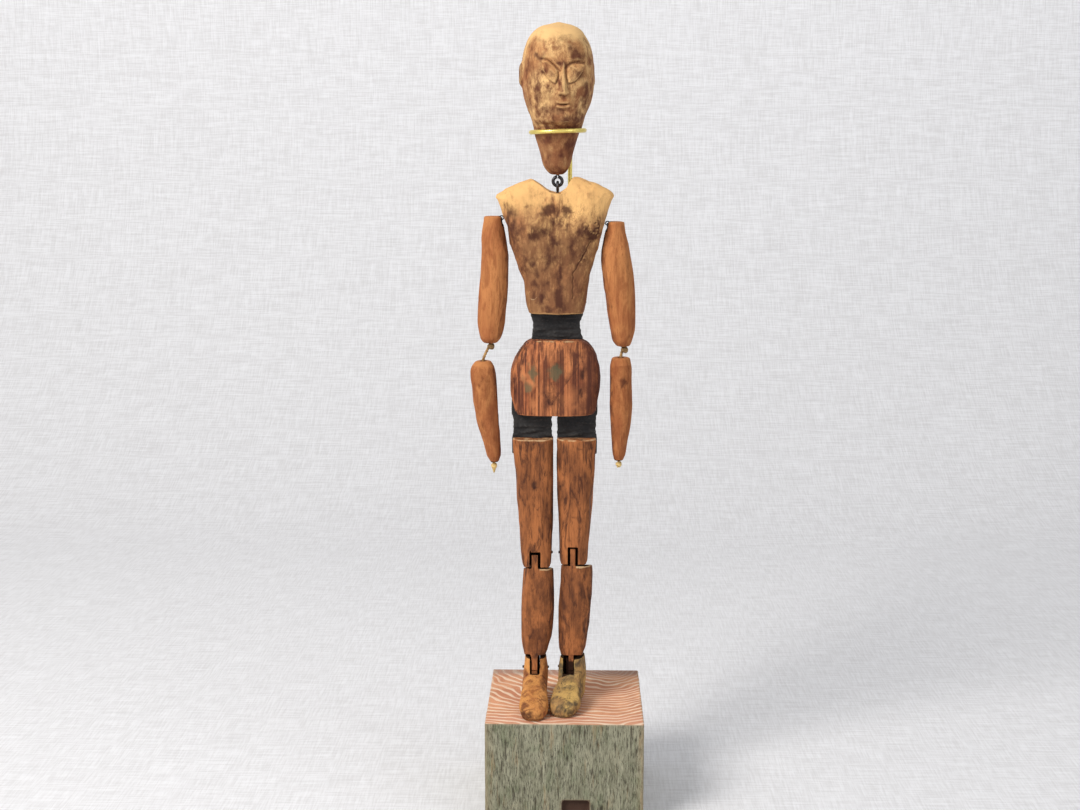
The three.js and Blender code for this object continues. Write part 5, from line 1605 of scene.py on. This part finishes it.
def block_wood():
    """A sawn softwood post: rings with pale late lines on the end grain, grey weathered sides."""
    shader = Shader("weathered_post", 0.88)
    split = shader.node("ShaderNodeSeparateXYZ")
    shader.put(split.inputs[0], shader.place)
    across, along, _ = split.outputs
    warp = shader.noise((0.03, 0.03, 0.004), detail=2)

    # End grain: rings round a pith behind the block
    behind = shader.math("SUBTRACT", 47.0, along)
    x = shader.add(across, -28.0)
    x = shader.times(x, shader.span(x, -6.0, 6.0, 0.72, 1.6))
    reach = shader.math("SQRT", shader.add(shader.times(x, x), shader.times(behind, behind)))
    reach = shader.add(reach, shader.times(warp, 24.0))
    rings = shader.math("FRACT", shader.math("DIVIDE", reach, 4.2))
    late = shader.times(shader.span(rings, 0.45, 0.72), shader.span(rings, 1.0, 0.86))
    which = shader.noise((0.05, 0.05, 0.01), (1, 1, 1), 3)
    late = shader.times(late, shader.span(which, 0.3, 0.6, 0.55, 1.0))
    grit = shader.noise((1.8, 1.8, 0.3), detail=4, roughness=0.7)
    blotches = shader.noise((0.05, 0.05, 0.02), (4, 4, 4), 4, 0.6)
    top = shader.mix(shader.span(blotches, 0.38, 0.62), srgb(222, 160, 122), srgb(200, 136, 102))
    top = shader.layered(top, (along, -26.0, -40.0, 0.6, srgb(212, 150, 124)))
    top = shader.mix(shader.times(late, 0.85), top, srgb(250, 228, 200))
    back = shader.span(shader.add(along, shader.times(warp, 8.0)), 34.0, 43.0, 0, 0.85)
    top = shader.mix(shader.times(back, shader.span(grit, 0.3, 0.6, 0.35, 1.0)), top, srgb(150, 126, 116))
    top = shader.layered(top, (grit, 0.55, 0.75, 0.35, srgb(150, 104, 84)))

    # Sides
    streak = shader.noise((0.42, 0.42, 0.06), detail=5, roughness=0.75)
    fine = shader.noise((1.7, 1.7, 0.26), detail=4, roughness=0.75)
    moss = shader.noise((0.11, 0.11, 0.06), (5, 2, 8), 5, 0.65)
    tan = shader.noise((0.3, 0.3, 0.03), (4, 9, 4), 4, 0.7)
    side = shader.layered(
        shader.mix(shader.span(streak, 0.36, 0.64), srgb(150, 148, 126), srgb(120, 118, 98)),
        (moss, 0.48, 0.64, 0.6, srgb(106, 112, 86)), (moss, 0.44, 0.32, 0.5, srgb(160, 156, 132)),
        (fine, 0.48, 0.63, 0.85, srgb(64, 60, 50)), (fine, 0.45, 0.3, 0.5, srgb(174, 172, 150)),
    )
    edges = shader.span(shader.math("ABSOLUTE", across), 38.0, 44.0, 0, 0.12)
    side = shader.mix(shader.add(edges, shader.span(tan, 0.56, 0.72, 0, 0.4)), side, srgb(160, 124, 82))
    side = shader.mix(shader.attribute("check"), side, srgb(50, 42, 34))
    side = shader.mix(shader.attribute("notch"), side, srgb(70, 50, 40))

    colour = shader.mix(shader.attribute("top"), side, top)
    colour = shader.layered(colour, (shader.attribute("ridge"), 0.5, 1.2, 0.22, srgb(180, 160, 130)))
    shader.set("Base Color", colour)
    shader.set("Specular IOR Level", 0.25)
    height = shader.add(fine, shader.times(streak, 1.2))
    shader.bump(shader.add(height, shader.times(late, 0.4)), 0.3, 0.7)
    return shader.material


BLOCK_WOOD = block_wood()

make_ring()
make_rod()
make_block()
make_head()
make_torso()
make_pelvis()
make_strap(
    "waist_leather", WAIST_STRAP_ROWS, PELVIS_TOP, TORSO_BOTTOM, 0, "waist_strap", 3.0,
)
for side, spec in SIDES.items():
    out = spec["outward"]
    make_strap(
        f"{side}_hip_leather",
        [(share, *sorted((out * outer, -out * inner))) for share, outer, inner in HIP_STRAP_ROWS],
        THIGH_TOP, PELVIS_BOTTOM, spec["hip"], f"{side}_hip_strap",
        spec["strap_seed"],
    )
    make_leg(side)
    make_arm(side)
make_eyes()


# Floor, backdrop and light. The sheet's floor, bend, height and half width are in metres.
FLOOR_FRONT, FLOOR_BACK, BEND, SHEET_TOP, SHEET_HALF = -3.0, 0.55, 0.5, 3.0, 4.0


def linen():
    """Pale woven cloth, which the camera and reflections see a little brighter than its light makes it: a
    glow that is painted light, stronger towards +x and upwards.
    """
    shader = Shader("pale_linen", 0.9)
    threads = shader.noise((0.035, 0.7, 0.7), detail=4, roughness=0.7)
    slubs = shader.noise((0.75, 0.045, 0.045), detail=3, roughness=0.7)
    weave = shader.add(shader.times(threads, 0.55), shader.times(slubs, 0.45))
    cloth = shader.mix(shader.span(weave, 0.36, 0.64), srgb(214, 213, 214), srgb(236, 236, 238))
    shader.set("Base Color", cloth)
    shader.set("Emission Color", cloth)
    path = shader.node("ShaderNodeLightPath").outputs
    seen = shader.math("MAXIMUM", path["Is Camera Ray"], path["Is Glossy Ray"])
    seen = shader.math("MAXIMUM", seen, path["Is Transmission Ray"])
    split = shader.node("ShaderNodeSeparateXYZ")
    shader.put(split.inputs[0], shader.place)
    # Painted light: the glow grows towards +x and upwards
    glow = shader.span(split.outputs[0], -500.0, 500.0, 0.07, 0.1)
    glow = shader.add(glow, shader.span(split.outputs[2], 0.0, 900.0, -0.04, 0.1))
    shader.set("Emission Strength", shader.times(seen, glow))
    return shader.material


def make_stage():
    """One pale sheet: the floor, swept up behind."""
    profile = [(FLOOR_FRONT, 0.0), (FLOOR_BACK, 0.0)]
    profile += [
        (FLOOR_BACK + BEND * math.sin(a), BEND - BEND * math.cos(a)) for a in np.radians(np.arange(6, 91, 6))
    ]
    profile += [(FLOOR_BACK + BEND, SHEET_TOP)]
    points = [(x, y, z + BLOCK_LOW.z) for x in (-SHEET_HALF, SHEET_HALF) for y, z in profile]
    count = len(profile)
    mesh = bpy.data.meshes.new("paper_sweep")
    mesh.from_pydata(points, [], [(i, i + 1, count + i + 1, count + i) for i in range(count - 1)])
    mesh.shade_smooth()
    sweep = bpy.data.objects.new("paper_sweep", mesh)
    bpy.context.scene.collection.objects.link(sweep)
    mesh.materials.append(linen())


def make_light(name, place, target, size, power, colour):
    data = bpy.data.lights.new(name, "AREA")
    data.shape, data.size, data.energy, data.color = "DISK", size, power, colour
    lamp = bpy.data.objects.new(name, data)
    lamp.location = place
    lamp.rotation_euler = (Vector(target) - Vector(place)).to_track_quat("-Z", "Y").to_euler()
    bpy.context.scene.collection.objects.link(lamp)


# The room's strength on the object, and where the camera, reflections and clear materials see it
ROOM_LIGHT, ROOM_SHOWN, ROOM_COLOUR = 0.46, 0.85, (0.95, 0.97, 1.0, 1.0)


def make_room():
    world = bpy.data.worlds.new("soft_room")
    world.use_nodes = True
    nodes, links = world.node_tree.nodes, world.node_tree.links
    room = nodes["Background"]
    room.inputs[0].default_value = ROOM_COLOUR
    path = nodes.new("ShaderNodeLightPath").outputs
    first, either, brighter = (nodes.new("ShaderNodeMath") for _ in range(3))
    first.operation = either.operation = "MAXIMUM"
    brighter.operation = "MULTIPLY_ADD"
    brighter.inputs[1].default_value, brighter.inputs[2].default_value = ROOM_SHOWN - ROOM_LIGHT, ROOM_LIGHT
    for source, socket in (
        (path["Is Camera Ray"], first.inputs[0]), (path["Is Glossy Ray"], first.inputs[1]),
        (first.outputs[0], either.inputs[0]), (path["Is Transmission Ray"], either.inputs[1]),
        (either.outputs[0], brighter.inputs[0]), (brighter.outputs[0], room.inputs[1]),
    ):
        links.new(source, socket)
    bpy.context.scene.world = world


make_stage()
make_light("key", (-0.9, -0.9, 1.15), (0, 0, 0.25), 0.7, 23.5, (1.0, 0.97, 0.93))
make_light("fill", (1.3, -1.0, 0.8), (0, 0, 0.2), 1.2, 5, (0.93, 0.96, 1.0))
make_room()
bpy.context.scene.view_settings.view_transform = "Standard"
